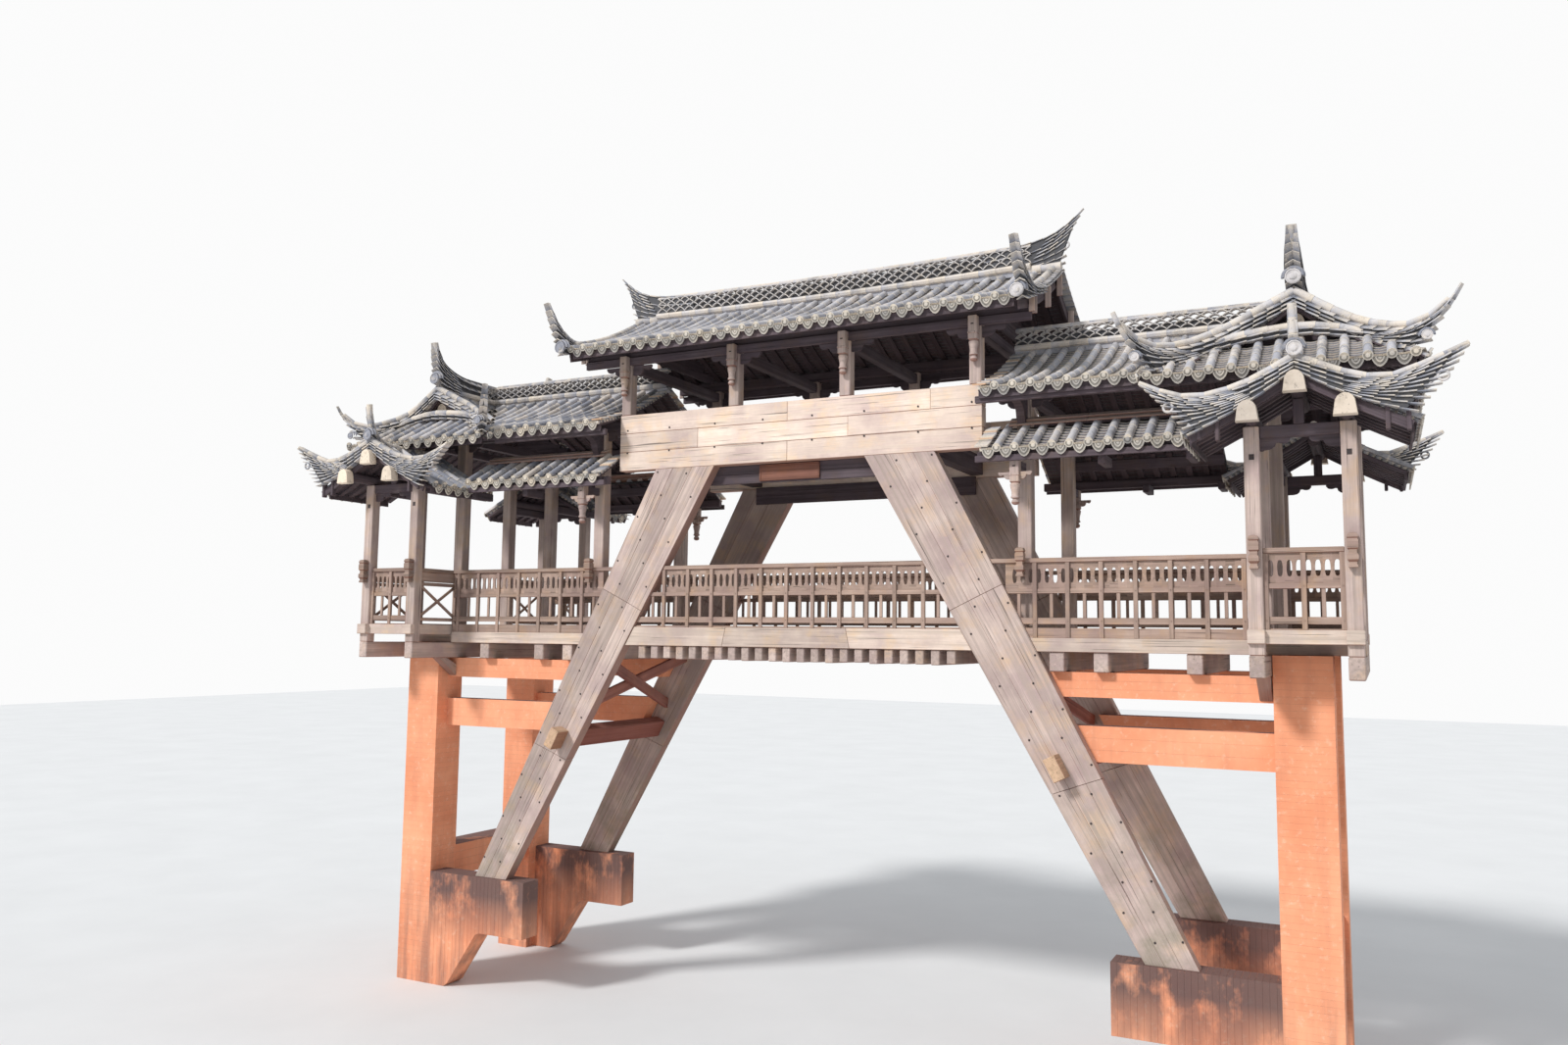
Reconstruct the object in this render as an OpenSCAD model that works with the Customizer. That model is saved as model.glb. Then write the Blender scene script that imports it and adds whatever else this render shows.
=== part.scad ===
// Covered timber bridge with concrete piers, raking legs, a plank-clad top
// beam, a timber deck and tiled roofs. X runs along the bridge, Y across it
// and Z up. The origin is on the ground, midway between the four piers.

/* [Legs and top beam] */
// Half of the length of each horizontal top beam
beam_half = 3130; // [2900:10:3500]
// Height of the underside of the top beam above the ground
beam_z = 8770; // [8400:10:9200]
// Depth of the top beam from underside to top
beam_depth = 940; // [700:10:1100]
// Distance from the middle plane to the outer face of legs and top beams
truss_y = 1580; // [1400:10:2000]
// Thickness of legs and top beams across the bridge
truss_t = 200; // [150:5:240]
// Distance from the middle to the outer edge of a leg at its head
leg_head_out = 2410; // [2200:10:2600]
// Horizontal width of a leg at its head
leg_head_w = 1110; // [800:10:1200]
// Distance from the middle to the outer edge of a leg at its foot
leg_foot_out = 5930; // [5700:10:6200]
// Horizontal width of a leg at its foot
leg_foot_w = 670; // [500:10:800]

/* [Piers] */
// Distance from the middle to the inner face of a pier column
column_x = 6890; // [6800:10:7200]
// Width of a pier column along the bridge
column_w = 690; // [500:10:760]
// Depth of a pier column across the bridge
column_d = 610; // [450:10:700]
// How far the pier stands out past the legs' outer face
column_out = 60; // [0:5:100]
// Height of the corbel's top, where the leg stands
corbel_z = 1900; // [1600:10:2200]
// Height of the corbel block itself
corbel_h = 930; // [700:10:1100]
// Length of the corbel from the column towards the water
corbel_len = 2060; // [1900:10:2300]
// Thickness of the corbel across the bridge
corbel_t = 400; // [300:10:500]
// Underside and top of the lower concrete beam
strut_low = [4420, 4900];
// Underside of the upper concrete beam
strut_high_z = 5280; // [5150:10:5350]
// Thickness of the concrete beams across the bridge
strut_t = 250; // [180:10:300]

/* [Deck] */
// Height of the top of the floor boards
floor_z = 6100; // [5900:10:6300]
// Thickness of the floor boards
board_t = 50; // [30:5:60]
// Depth of the edge beams beside the piers
edge_h = 190; // [150:5:200]
// Depth of the edge beam between the legs
centre_edge_h = 300; // [200:5:320]
// Depth of the joists that cross the bridge
joist_h = 270; // [200:10:300]
// Width of a joist in the middle of the bridge
joist_w = 130; // [100:5:160]
// Distance between the joists in the middle of the bridge
joist_pitch = 240; // [200:5:400]

/* [Posts] */
// Width of the posts in the planes of the legs
post_w = 200; // [150:5:240]
// Width of the porch posts
porch_post_w = 180; // [140:5:200]
// Distance from the middle to the post beside a leg
post_x = 3680; // [3600:10:3900]
// Distance from the middle to the inner porch post
porch_x = 6790; // [6700:10:6800]
// Distance between the two porch posts
porch_bay = 1070; // [1000:10:1200]
// Distance from the middle plane to the porch posts
porch_y = 2410; // [2300:10:2600]

/* [Railings] */
// Height of the handrail's top above the floor boards
rail_h = 1080; // [900:10:1200]
// Distance between the upright brackets of a railing
bracket_pitch = 455; // [350:5:500]
// Thickness of the slotted boards
panel_t = 30; // [20:1:40]
// Width of the slots in the boards
slot_w = 66; // [40:1:90]
// Height of the slots in the boards
slot_h = 200; // [120:5:220]

/* [Roofs] */
// Thickness of the roof boarding and tile bed
roof_t = 90; // [60:5:110]
// Height of the middle roof's surface at its ridge
middle_ridge_z = 11700; // [11500:10:12000]
// Height of the middle roof's surface at its eave
middle_eave_z = 10780; // [10700:10:11000]
// Distance from the middle plane to the middle roof's eave
middle_eave_y = 2130; // [2000:10:2300]
// Half of the length of the middle roof
middle_half = 3930; // [3700:10:4200]
// Height of the side roof's surface at its ridge
side_ridge_z = 10450; // [10300:10:10600]
// Height of the side roof's surface at its eave
side_eave_z = 9540; // [9450:10:9650]
// Distance from the middle plane to the side roof's eave
side_eave_y = 2050; // [1950:10:2200]
// Distance from the porch's middle back to the ridge that crosses each end roof
cross_shift = 55; // [0:5:150]
// How far the end roof's eave stands out past the inner porch post
cross_reach_in = 1340; // [1250:10:1450]
// How far the end roof's eave stands out past the outer porch post
cross_reach_out = 840; // [750:10:900]
// Height of the end roof's lower eave
cross_eave_z = 9440; // [9350:10:9500]
// Distance from the middle plane to the end roof's front eave
cross_eave_y = 2300; // [2200:10:2400]
// Distance from the middle plane to the end roof's gable
gable_y = 1500; // [1400:10:1600]
// Height of the porch roof's surface at its ridge
porch_ridge_z = 9250; // [9200:10:9280]
// Height of the porch roof's surface at its eave
porch_eave_z = 8550; // [8500:10:8600]
// Distance from the middle plane to the porch roof's front edge
porch_front_y = 3000; // [2900:10:3100]
// Half of the width of the porch roof
porch_half = 1250; // [1150:10:1350]
// Height of the low side roof's surface where it meets the posts
pent_top_z = 9060; // [9000:10:9200]
// Height of the low side roof's surface at its eave
pent_eave_z = 8680; // [8600:10:8900]
// Height of the tile ridge above the roof
ridge_h = 440; // [200:10:520]

/* [Hidden] */

timber = "#9a8878";
pale_timber = "#c3a98f";
dark_timber = "#5d443a";
concrete = "#b9694e";
tile = "#6d7078";
cap_clay = "#d8c095";

// Gap left between timbers that would otherwise share a sloping face
seat = 0.3;

truss_in = truss_y - truss_t;
beam_top = beam_z + beam_depth;
joist_top = floor_z - board_t - 160;
joist_z = joist_top - joist_h;
strut_high = [strut_high_z, joist_z];
sill_top = joist_top + edge_h;
centre_edge_top = joist_top + centre_edge_h;
handrail_top = floor_z + rail_h;
column_y = truss_y + column_out;
post_y = truss_in - 10 - post_w / 2;
porch_x2 = porch_x + porch_bay;
middle_post_x = beam_half - post_w / 2;
middle_post_x2 = 970;
porch_mid = (porch_x + porch_x2) / 2;
cross_x = porch_mid - cross_shift;
cross_in = porch_x - cross_reach_in;
cross_out = porch_x2 + cross_reach_out;

// Distance from the middle to the edges of a leg at height z
function leg_out(z) = leg_foot_out
    + (leg_head_out - leg_foot_out) * (z - corbel_z) / (beam_z - corbel_z);
function leg_in(z) = leg_foot_out - leg_foot_w
    + (leg_head_out - leg_head_w - leg_foot_out + leg_foot_w)
    * (z - corbel_z) / (beam_z - corbel_z);
function leg_mid(z) = (leg_out(z) + leg_in(z)) / 2;

// Height of a roof's surface a share t of the way from ridge to eave, with
// the slight hollow that tiled roofs have, in straight steps
roof_steps = 6;
function sagged(ridge, eave, t, sag) = ridge + (eave - ridge) * t - sag * (ridge - eave) * sin(180 * t);
function roof_level(ridge, eave, t, sag = 0.1) =
    let(i = min(floor(t * roof_steps), roof_steps - 1), part = t * roof_steps - i)
    (1 - part) * sagged(ridge, eave, i / roof_steps, sag)
    + part * sagged(ridge, eave, (i + 1) / roof_steps, sag);

// Points of one slope in plan distance and height, from ridge to eave
function slope_points(reach, ridge, eave, sag = 0.1) =
    [for (i = [0 : roof_steps]) [reach * i / roof_steps, sagged(ridge, eave, i / roof_steps, sag)]];

function flip(points) = [for (i = [len(points) - 1 : -1 : 0]) [-points[i][0], points[i][1]]];
function tail(points) = [for (i = [1 : len(points) - 1]) points[i]];
function back(points) = [for (i = [len(points) - 1 : -1 : 0]) points[i]];

// Smooth curve through a few points, in so many straight steps from each to
// the next
function smooth(p, steps = 4) = concat(
    [for (i = [0 : len(p) - 2], j = [0 : steps - 1])
        let(t = j / steps, a = p[max(i - 1, 0)], b = p[i], c = p[i + 1], d = p[min(i + 2, len(p) - 1)])
        b + (c - a) * t / 2 + (a - 2.5 * b + 2 * c - d / 2) * t * t
        + (1.5 * (b - c) + (d - a) / 2) * t * t * t],
    [p[len(p) - 1]]);

// Outline of a band that follows two like slopes, thick from top to bottom
function shell_outline(reach, ridge, eave, sag = 0.1, thick = roof_t) =
    let(top = slope_points(reach, ridge, eave, sag), low = [for (p = top) p - [0, thick]])
    concat(flip(top), tail(top), back(low), [for (i = [1 : len(low) - 1]) [-low[i][0], low[i][1]]]);

// Closed outline of the space under a roof with two like slopes
function gable_outline(reach, ridge, eave, base) = let(half = slope_points(reach, ridge, eave))
    concat([[-reach, base]], flip(half), tail(half), [[reach, base]]);

// Height of each roof's underside at a distance from its ridge
function middle_under(y) = roof_level(middle_ridge_z, middle_eave_z, y / middle_eave_y) - roof_t;
function side_under(y) = roof_level(side_ridge_z, side_eave_z, y / side_eave_y) - roof_t;
function porch_under(x) = roof_level(porch_ridge_z, porch_eave_z, x / porch_half, porch_sag) - roof_t;

// Repeats a shape on the left, on the rear or on both sides of the bridge
module left_side() { mirror([1, 0, 0]) children(); }
module rear_side() { mirror([0, 1, 0]) children(); }
module both_sides() { children(); rear_side() children(); }
module four_ways() { both_sides() { children(); left_side() children(); } }

// A plate drawn in X and Z, between two distances y0 < y1
module upright_plate(points, y0, y1) {
    translate([0, y1, 0]) rotate([90, 0, 0]) linear_extrude(y1 - y0) polygon(points);
}

// A plate drawn in Y and Z, between two distances x0 < x1
module cross_plate(points, x0, x1) {
    translate([x0, 0, 0]) rotate([90, 0, 90]) linear_extrude(x1 - x0) polygon(points);
}

// A box between two corners
module block(low, high) { translate(low) cube(high - low); }

// Concrete pier at the front right: column, corbel and raking haunch
module pier() {
    color(concrete) union() {
        block([column_x, -column_y, 0],
              [column_x + column_w, -column_y + column_d, joist_top]);
        upright_plate([
            [column_x - corbel_len, corbel_z - corbel_h], [column_x - corbel_len, corbel_z],
            [column_x + 50, corbel_z], [column_x + 50, 0],
            [column_x - 430, 0], [column_x - 1080, corbel_z - corbel_h]
        ], -column_y, -column_y + corbel_t);
    }
}

strut_lap = 250;

// Concrete beams of the right side, and the tie between the columns' feet
module pier_beams() {
    color(concrete) {
        both_sides() for (level = [strut_low, strut_high])
            upright_plate([
                [leg_out(level[0]) - strut_lap, level[0]], [column_x, level[0]],
                [column_x, level[1]], [leg_out(level[1]) - strut_lap, level[1]]
            ], -truss_in, -truss_in + strut_t);
        block([column_x + 60, -column_y + column_d, 1700],
              [column_x + column_w - 60, column_y - column_d, 2250]);
    }
}

// Raking leg at the front right
module leg() {
    color(timber) difference() {
        upright_plate([
            [leg_in(corbel_z), corbel_z], [leg_out(corbel_z), corbel_z],
            [leg_out(beam_z), beam_z], [leg_in(beam_z), beam_z]
        ], -truss_y, -truss_in);
        crossbeam(seat);
    }
}

crossbeam_z = 4340;
crossbeam_x = leg_mid(crossbeam_z) - 90;
crossbeam_size = [200, 320];
tenon_out = 120;
leg_angle = atan((leg_foot_out - leg_head_out) / (beam_z - corbel_z));

// Beam between the legs of one side, whose tenons pass through both legs
module crossbeam(room = 0) {
    size = crossbeam_size + [2 * room, 2 * room];
    translate([crossbeam_x, truss_y + tenon_out, crossbeam_z])
        rotate([90, 0, 0]) rotate(leg_angle)
            linear_extrude(2 * (truss_y + tenon_out)) square(size, center = true);
}

module leg_crossbeam() { color(dark_timber) crossbeam(); }

brace_w = 130;
brace_t = 90;
brace_span = [4760, 5680];

// Crossed braces between the legs of one side, in the legs' own slope
module leg_brace() {
    low = brace_span[0];
    high = brace_span[1];
    slope = atan((leg_mid(low) - leg_mid(high)) / (high - low));
    run = 2 * truss_in;
    rise = (high - low) / cos(slope);
    turn = atan(rise / run);
    color(dark_timber)
        translate([leg_mid((low + high) / 2), 0, (low + high) / 2]) rotate([0, -slope, 0])
            intersection() {
                cube([400, run, 2 * rise], center = true);
                union() for (side = [-1, 1]) rotate([side * turn, 0, 0])
                    cube([brace_t, 1.4 * run, brace_w], center = true);
            }
}

// Horizontal beam on the heads of the front legs
module top_beam() {
    color(pale_timber) block([-beam_half, -truss_y, beam_z], [beam_half, -truss_in, beam_top]);
}

// Timbers that join the two top beams under the roof
module top_crossbeams() {
    color(dark_timber) for (x = [-1, 1] * (leg_head_out - 300))
        block([x - 110, -truss_in, beam_z + 40], [x + 110, truss_in, beam_z + 360]);
}

// Bare boards that hang behind the top beam, one at the middle, one by the leg
module name_boards() {
    color(dark_timber) both_sides() {
        block([-2100, -truss_in, beam_z - 290], [2100, -truss_in + 60, beam_z + 20]);
        block([-570, -truss_in - 30, beam_z - 270], [480, -truss_in, beam_z - 10]);
    }
}

// Outline of the space between the two legs of one side, from z0 to z1
function between_legs(z0, z1) = [
    [-leg_in(z0) + seat, z0], [leg_in(z0) - seat, z0],
    [leg_in(z1) - seat, z1], [-leg_in(z1) + seat, z1]
];

edge_t = 120;
edge_y = truss_y - 20;
porch_edge = [porch_y - porch_post_w / 2 + 20, porch_y + porch_post_w / 2 - 30];
porch_edge_z = [6030, 6200];

// Width of the tenon ends at the feet of the porch posts, and their front face
foot_tenon = 200;
porch_front = porch_y + porch_post_w / 2 + 60;

// Edge beam between the legs, front and rear
module edge_beams_centre() {
    color(pale_timber) both_sides()
        upright_plate(between_legs(joist_top, centre_edge_top), -edge_y, -edge_y + edge_t);
}

// Edge beams, sills and porch edges of the right side
module edge_beams() {
    color(pale_timber) both_sides() {
        upright_plate([
            [leg_out(joist_top) + seat, joist_top], [porch_x - 90, joist_top],
            [porch_x - 90, sill_top], [leg_out(sill_top) + seat, sill_top]
        ], -edge_y, -edge_y + edge_t);
        block([post_x - 150, -post_y - post_w / 2, joist_top],
              [porch_x2 + post_w / 2, -post_y + post_w / 2, sill_top]);
        block([porch_x + porch_post_w / 2, -porch_edge[1], porch_edge_z[0]],
              [porch_x2 - porch_post_w / 2, -porch_edge[0], porch_edge_z[1]]);
        for (x = [porch_x, porch_x2]) {
            block([x - 60, -porch_y + porch_post_w / 2, porch_edge_z[0]],
                  [x + 60, -post_y - post_w / 2, porch_edge_z[1]]);
            block([x - foot_tenon / 2, -porch_front, porch_edge_z[0]],
                  [x + foot_tenon / 2, -porch_y - porch_post_w / 2, porch_edge_z[1]]);
        }
    }
}

side_joists = [4150, 4750, 5950];

// Joists that cross under the deck
module deck_joists() {
    count = floor((leg_in(joist_top) - 150) / joist_pitch);
    color(timber) {
        for (i = [-count : count])
            block([i * joist_pitch - joist_w / 2, -edge_y + 30, joist_top - 220],
                  [i * joist_pitch + joist_w / 2, edge_y - 30, joist_top]);
        for (side = [-1, 1]) {
            for (x = side_joists)
                block([side * x - 100, -edge_y + 30, joist_z], [side * x + 100, edge_y - 30, joist_top]);
            for (x = [porch_x, porch_x2])
                block([side * x - porch_post_w / 2, -porch_y - 90, joist_z],
                      [side * x + porch_post_w / 2, porch_y + 90, joist_top]);
        }
    }
}

// Beams that run along the bridge on the joists
module deck_stringers() {
    color(timber) for (y = [-1000, -350, 350, 1000])
        block([-porch_x2 - 90, y - 60, joist_top], [porch_x2 + 90, y + 60, floor_z - board_t]);
}

// Floor of the walkway and of the four porches
module deck_floor() {
    half = post_y - post_w / 2 - 10;
    color(timber) {
        block([-porch_x2 - 90, -half, floor_z - board_t], [porch_x2 + 90, half, floor_z]);
        four_ways()
            block([porch_x + 60, -porch_y + porch_post_w / 2, floor_z - board_t],
                  [porch_x2 - 60, -post_y - post_w / 2, floor_z]);
    }
}

// Short raking struts from the concrete beams to the joists under the porches
module porch_knees() {
    foot = -truss_in;
    foot_z = strut_high_z + 20;
    color(timber) four_ways()
        cross_plate([
            [foot, foot_z], [foot, foot_z + 200], [foot - 250, joist_z], [foot - 450, joist_z]
        ], porch_x - 80, porch_x + 80);
}

rail_t = 90;
low_rail = [6265, 6355];
mid_rail = [6690, 6755];
ledge_top = 6215;
handrail_h = 65;
bracket_w = 60;
bar_w = 46;
bar_t = 30;
bar_pitch = 210;
board_rail_t = 50;
slot_lift = 15;
panel_top = handrail_top - handrail_h;

// One straight railing from x0 to x1 in the plane y = 0, outer face at -Y, with
// upright brackets evenly from first to last. Boards with three pointed slots
// to a bay fill it above the middle rail, and bars stand below.
module railing(x0, x1, first, last, foot_z) {
    bays = max(1, round((last - first) / bracket_pitch));
    pitch = (last - first) / bays;
    bars = max(1, round((x1 - x0) / bar_pitch));
    bar_step = (x1 - x0) / bars;
    union() {
        block([x0, -rail_t / 2, panel_top], [x1, rail_t / 2, handrail_top]);
        for (level = [mid_rail, low_rail])
            block([x0, -board_rail_t / 2, level[0]], [x1, board_rail_t / 2, level[1]]);
        difference() {
            block([x0, -panel_t / 2, mid_rail[1]], [x1, panel_t / 2, panel_top]);
            for (i = [0 : 3 * bays])
                translate([first + i * pitch / 3, 0, (mid_rail[1] + panel_top) / 2 + slot_lift]) slot();
        }
        for (i = [0 : bars - 1])
            translate([x0 + (i + 0.5) * bar_step, 0, 0])
                block([-bar_w / 2, -bar_t / 2, low_rail[1]], [bar_w / 2, bar_t / 2, mid_rail[0]]);
        for (i = [0 : bays])
            translate([first + i * pitch, 0, 0])
                block([-bracket_w / 2, -rail_t / 2, foot_z], [bracket_w / 2, -panel_t / 2, panel_top]);
    }
}

// Upright slot with pointed ends, cut through the boards
module slot() {
    half = slot_w / 2;
    point = 0.8 * half;
    rotate([90, 0, 0]) linear_extrude(4 * panel_t, center = true)
        polygon([for (turn = [-1, 1]) each [
            [-turn * half, turn * (slot_h / 2 - point)], [0, turn * slot_h / 2],
            [turn * half, turn * (slot_h / 2 - point)]
        ]]);
}

// Framed panel with crossed bars under a plain board, which closes a porch's
// side between y = 0 and y = len
module return_panel(len, foot_z) {
    frame = 60;
    board_z = mid_rail[1] + 180;
    low_z = foot_z + frame;
    rise = board_z - 2 * frame - low_z;
    lean = atan(rise / len);
    union() {
        block([-rail_t / 2, 0, panel_top], [rail_t / 2, len, handrail_top]);
        block([-panel_t / 2, 0, board_z], [panel_t / 2, len, panel_top]);
        for (z = [low_z, board_z - frame])
            block([-board_rail_t / 2, 0, z], [board_rail_t / 2, len, z + frame]);
        for (y = [0, len - frame])
            block([-board_rail_t / 2, y, foot_z], [board_rail_t / 2, y + frame, board_z]);
        intersection() {
            block([-bar_t / 2, 0, low_z], [bar_t / 2, len, board_z]);
            for (turn = [-lean, lean])
                translate([0, len / 2, low_z + frame + rise / 2]) rotate([turn, 0, 0])
                    cube([bar_t, 2 * len, bar_w], center = true);
        }
    }
}

newel_w = 120;
newel_z = [mid_rail[1] + 170, handrail_top + 150];

// Newel that hangs at a railing's end, with a head above the handrail and a
// stepped foot. Its back lies in the plane y = 0. Each step gives its half
// width as a share of the newel's width, and its lower end.
module newel() {
    steps = [[0.42, newel_z[0]], [0.33, newel_z[0] + 50], [0.5, newel_z[0] + 90], [0.4, newel_z[1] - 40],
             [0, newel_z[1]]];
    for (i = [0 : len(steps) - 2]) {
        half = steps[i][0] * newel_w;
        block([-half, -newel_w / 2 - half, steps[i][1]], [half, 0, steps[i + 1][1]]);
    }
}

rail_y = truss_y - 65;

// Railing between the legs at the front
module railing_centre() {
    end = leg_in(low_rail[0]);
    last = leg_in(panel_top) - bracket_w / 2;
    color(timber) intersection() {
        translate([0, -rail_y, 0]) union() {
            railing(-end, end, -last, last, centre_edge_top);
            block([-end - 100, -board_rail_t / 2, centre_edge_top],
                  [end + 100, board_rail_t / 2, ledge_top]);
        }
        upright_plate(between_legs(centre_edge_top, handrail_top), -rail_y - 100, -rail_y + 100);
    }
}

// Railings of the front right: beside the leg, and round the porch
module railing_side() {
    porch_in = porch_x + porch_post_w / 2;
    porch_out = porch_x2 - porch_post_w / 2;
    inner = post_y + post_w / 2;
    ledge_start = leg_out(sill_top) + seat;
    start = max(leg_out(low_rail[0]) + seat, post_x + newel_w / 3);
    post_end = porch_x - porch_post_w / 2;
    color(timber) {
        translate([0, -rail_y, 0]) union() {
            railing(start, post_end, ledge_start + 70, post_end - 120, sill_top);
            block([ledge_start, -board_rail_t / 2, sill_top], [post_end, board_rail_t / 2, ledge_top]);
        }
        translate([0, -porch_y, 0])
            railing(porch_in, porch_out, porch_in + bracket_w / 2, porch_out - bracket_w / 2,
                    porch_edge_z[1]);
        for (x = [porch_x, porch_x2]) {
            translate([x, -porch_y + porch_post_w / 2, 0])
                return_panel(porch_y - porch_post_w / 2 - inner, porch_edge_z[1]);
            translate([x, -porch_y - porch_post_w / 2, 0]) newel();
        }
        translate([post_x, -rail_y - rail_t / 2, 0]) newel();
    }
}

plate_w = 160;
plate_h = 170;
plate_top = side_under(post_y + plate_w / 2);
post_top = plate_top - plate_h;
porch_sag = 0.03;
purlin_r = 85;
purlin_at = 520;
purlin_lean = atan((porch_ridge_z - porch_eave_z) / porch_half);
low_purlin_z = porch_under(purlin_at) - purlin_r / cos(purlin_lean) - 4;
high_purlin_z = porch_ridge_z - roof_t - purlin_r / cos(purlin_lean) - 4;
porch_post_top = low_purlin_z - purlin_r;

// Posts that carry the roofs of the right end
module posts() {
    color(timber) both_sides() {
        for (x = [post_x, porch_x, porch_x2])
            block([x - post_w / 2, -post_y - post_w / 2, sill_top],
                  [x + post_w / 2, -post_y + post_w / 2, post_top]);
        for (x = [porch_x, porch_x2])
            block([x - porch_post_w / 2, -porch_y - porch_post_w / 2, joist_top],
                  [x + porch_post_w / 2, -porch_y + porch_post_w / 2, porch_post_top]);
    }
}

upper_y = truss_y - truss_t / 2;
purlin_h = 170;
purlin_top = middle_under(upper_y + 80);

// Posts on the top beams that carry the middle roof
module upper_posts() {
    color(timber) both_sides() for (x = [-1, 1], at = [middle_post_x2, middle_post_x])
        block([x * at - 90, -upper_y - 90, beam_top],
              [x * at + 90, -upper_y + 90, purlin_top - purlin_h]);
}

pendant_w = 130;
pendant_h = 670;
low_pendant_h = 630;

// Carved hanging post with a turned bud, its lower end at the origin
module pendant(h) {
    half = pendant_w / 2;
    bud = 0.9 * pendant_w;
    union() {
        translate([0, 0, bud]) block([-half, -half, 0], [half, half, h - bud]);
        rotate_extrude($fn = 48) polygon([
            [0, 0], [0.45 * half, 0.04 * bud], [0.85 * half, 0.2 * bud], [half, 0.42 * bud],
            [0.85 * half, 0.62 * bud], [0.6 * half, 0.72 * bud], [0.6 * half, 0.8 * bud],
            [0.95 * half, 0.86 * bud], [0.95 * half, bud + 1], [0, bud + 1]
        ]);
    }
}

// Hanging posts in front of the upper posts and under the low side roofs
module pendants() {
    color(pale_timber) both_sides() for (x = [-1, 1]) {
        for (at = [middle_post_x2, middle_post_x])
            translate([x * at, -upper_y - 90 - pendant_w / 2, purlin_top - purlin_h - pendant_h])
                pendant(pendant_h);
        translate([x * post_x, -pent_plate_y, pent_plate_z - pent_plate_h - low_pendant_h])
            pendant(low_pendant_h);
    }
}

// Boards that close the gables, and those that hang along their edges
gable_board_t = 40;
gable_board_reach = 1050;
barge_h = 200;

// Beams on the upper posts: along the eaves, and across the bridge, with the
// boards that close the gables and hang along their edges
module tie_beams_centre() {
    cross_top = purlin_top - purlin_h + 110;
    barge_x = middle_half - 60;
    color(dark_timber) {
        both_sides()
            block([-barge_x, -upper_y - 80, purlin_top - purlin_h], [barge_x, -upper_y + 80, purlin_top]);
        for (x = [-1, 1], at = [middle_post_x2, middle_post_x])
            block([x * at - 70, -upper_y + 90, purlin_top - purlin_h - 60],
                  [x * at + 70, upper_y - 90, cross_top]);
        for (turn = [0, 180]) rotate(turn) {
            intersection() {
                translate([0, 0, -roof_t - seat]) middle_roof_solid();
                block([middle_post_x, -upper_y + 80 + seat, cross_top],
                      [middle_post_x + gable_board_t, upper_y - 80 - seat, middle_ridge_z]);
            }
            translate([0, 0, -roof_t - seat])
                cross_plate(shell_outline(middle_eave_y, middle_ridge_z, middle_eave_z, thick = barge_h),
                            barge_x, barge_x + gable_board_t);
        }
    }
}

// Outline of a bracket board in X and Z: level top of the given length, and
// two lobes under it that run back to the post
function lobed(len, deep) = concat(
    [[0, 0], [len, 0], [len, -0.2 * deep]],
    [for (a = [0 : 30 : 150]) [0.78 * len + 0.18 * len * cos(a), -0.3 * deep - 0.2 * deep * sin(a)]],
    [for (a = [0 : 30 : 90]) [0.24 * len + 0.3 * len * cos(a), -0.42 * deep - 0.58 * deep * sin(a)]],
    [[0, -deep]]);

// Bracket boards on the given sides of a post at x = 0, under a beam at z = 0
module bracket_pair(sides) {
    for (side = sides) mirror([side < 0 ? 1 : 0, 0, 0])
        upright_plate([for (p = lobed(300, 150)) p + [post_w / 2, 0]], -20, 20);
}

// S-shaped corbel in Y and Z, whose level top runs from y = 0 out to -reach
module corbel(reach, deep, x0, x1) {
    cross_plate(concat(
        [[0, 0], [-reach, 0], [-reach, -0.14 * deep]],
        tail(smooth([[-reach, -0.14 * deep], [-0.84 * reach, -0.3 * deep], [-0.6 * reach, -0.36 * deep],
                     [-0.42 * reach, -0.5 * deep], [-0.34 * reach, -0.74 * deep], [-0.22 * reach, -deep]])),
        [[0, -deep]]), x0, x1);
}

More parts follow.
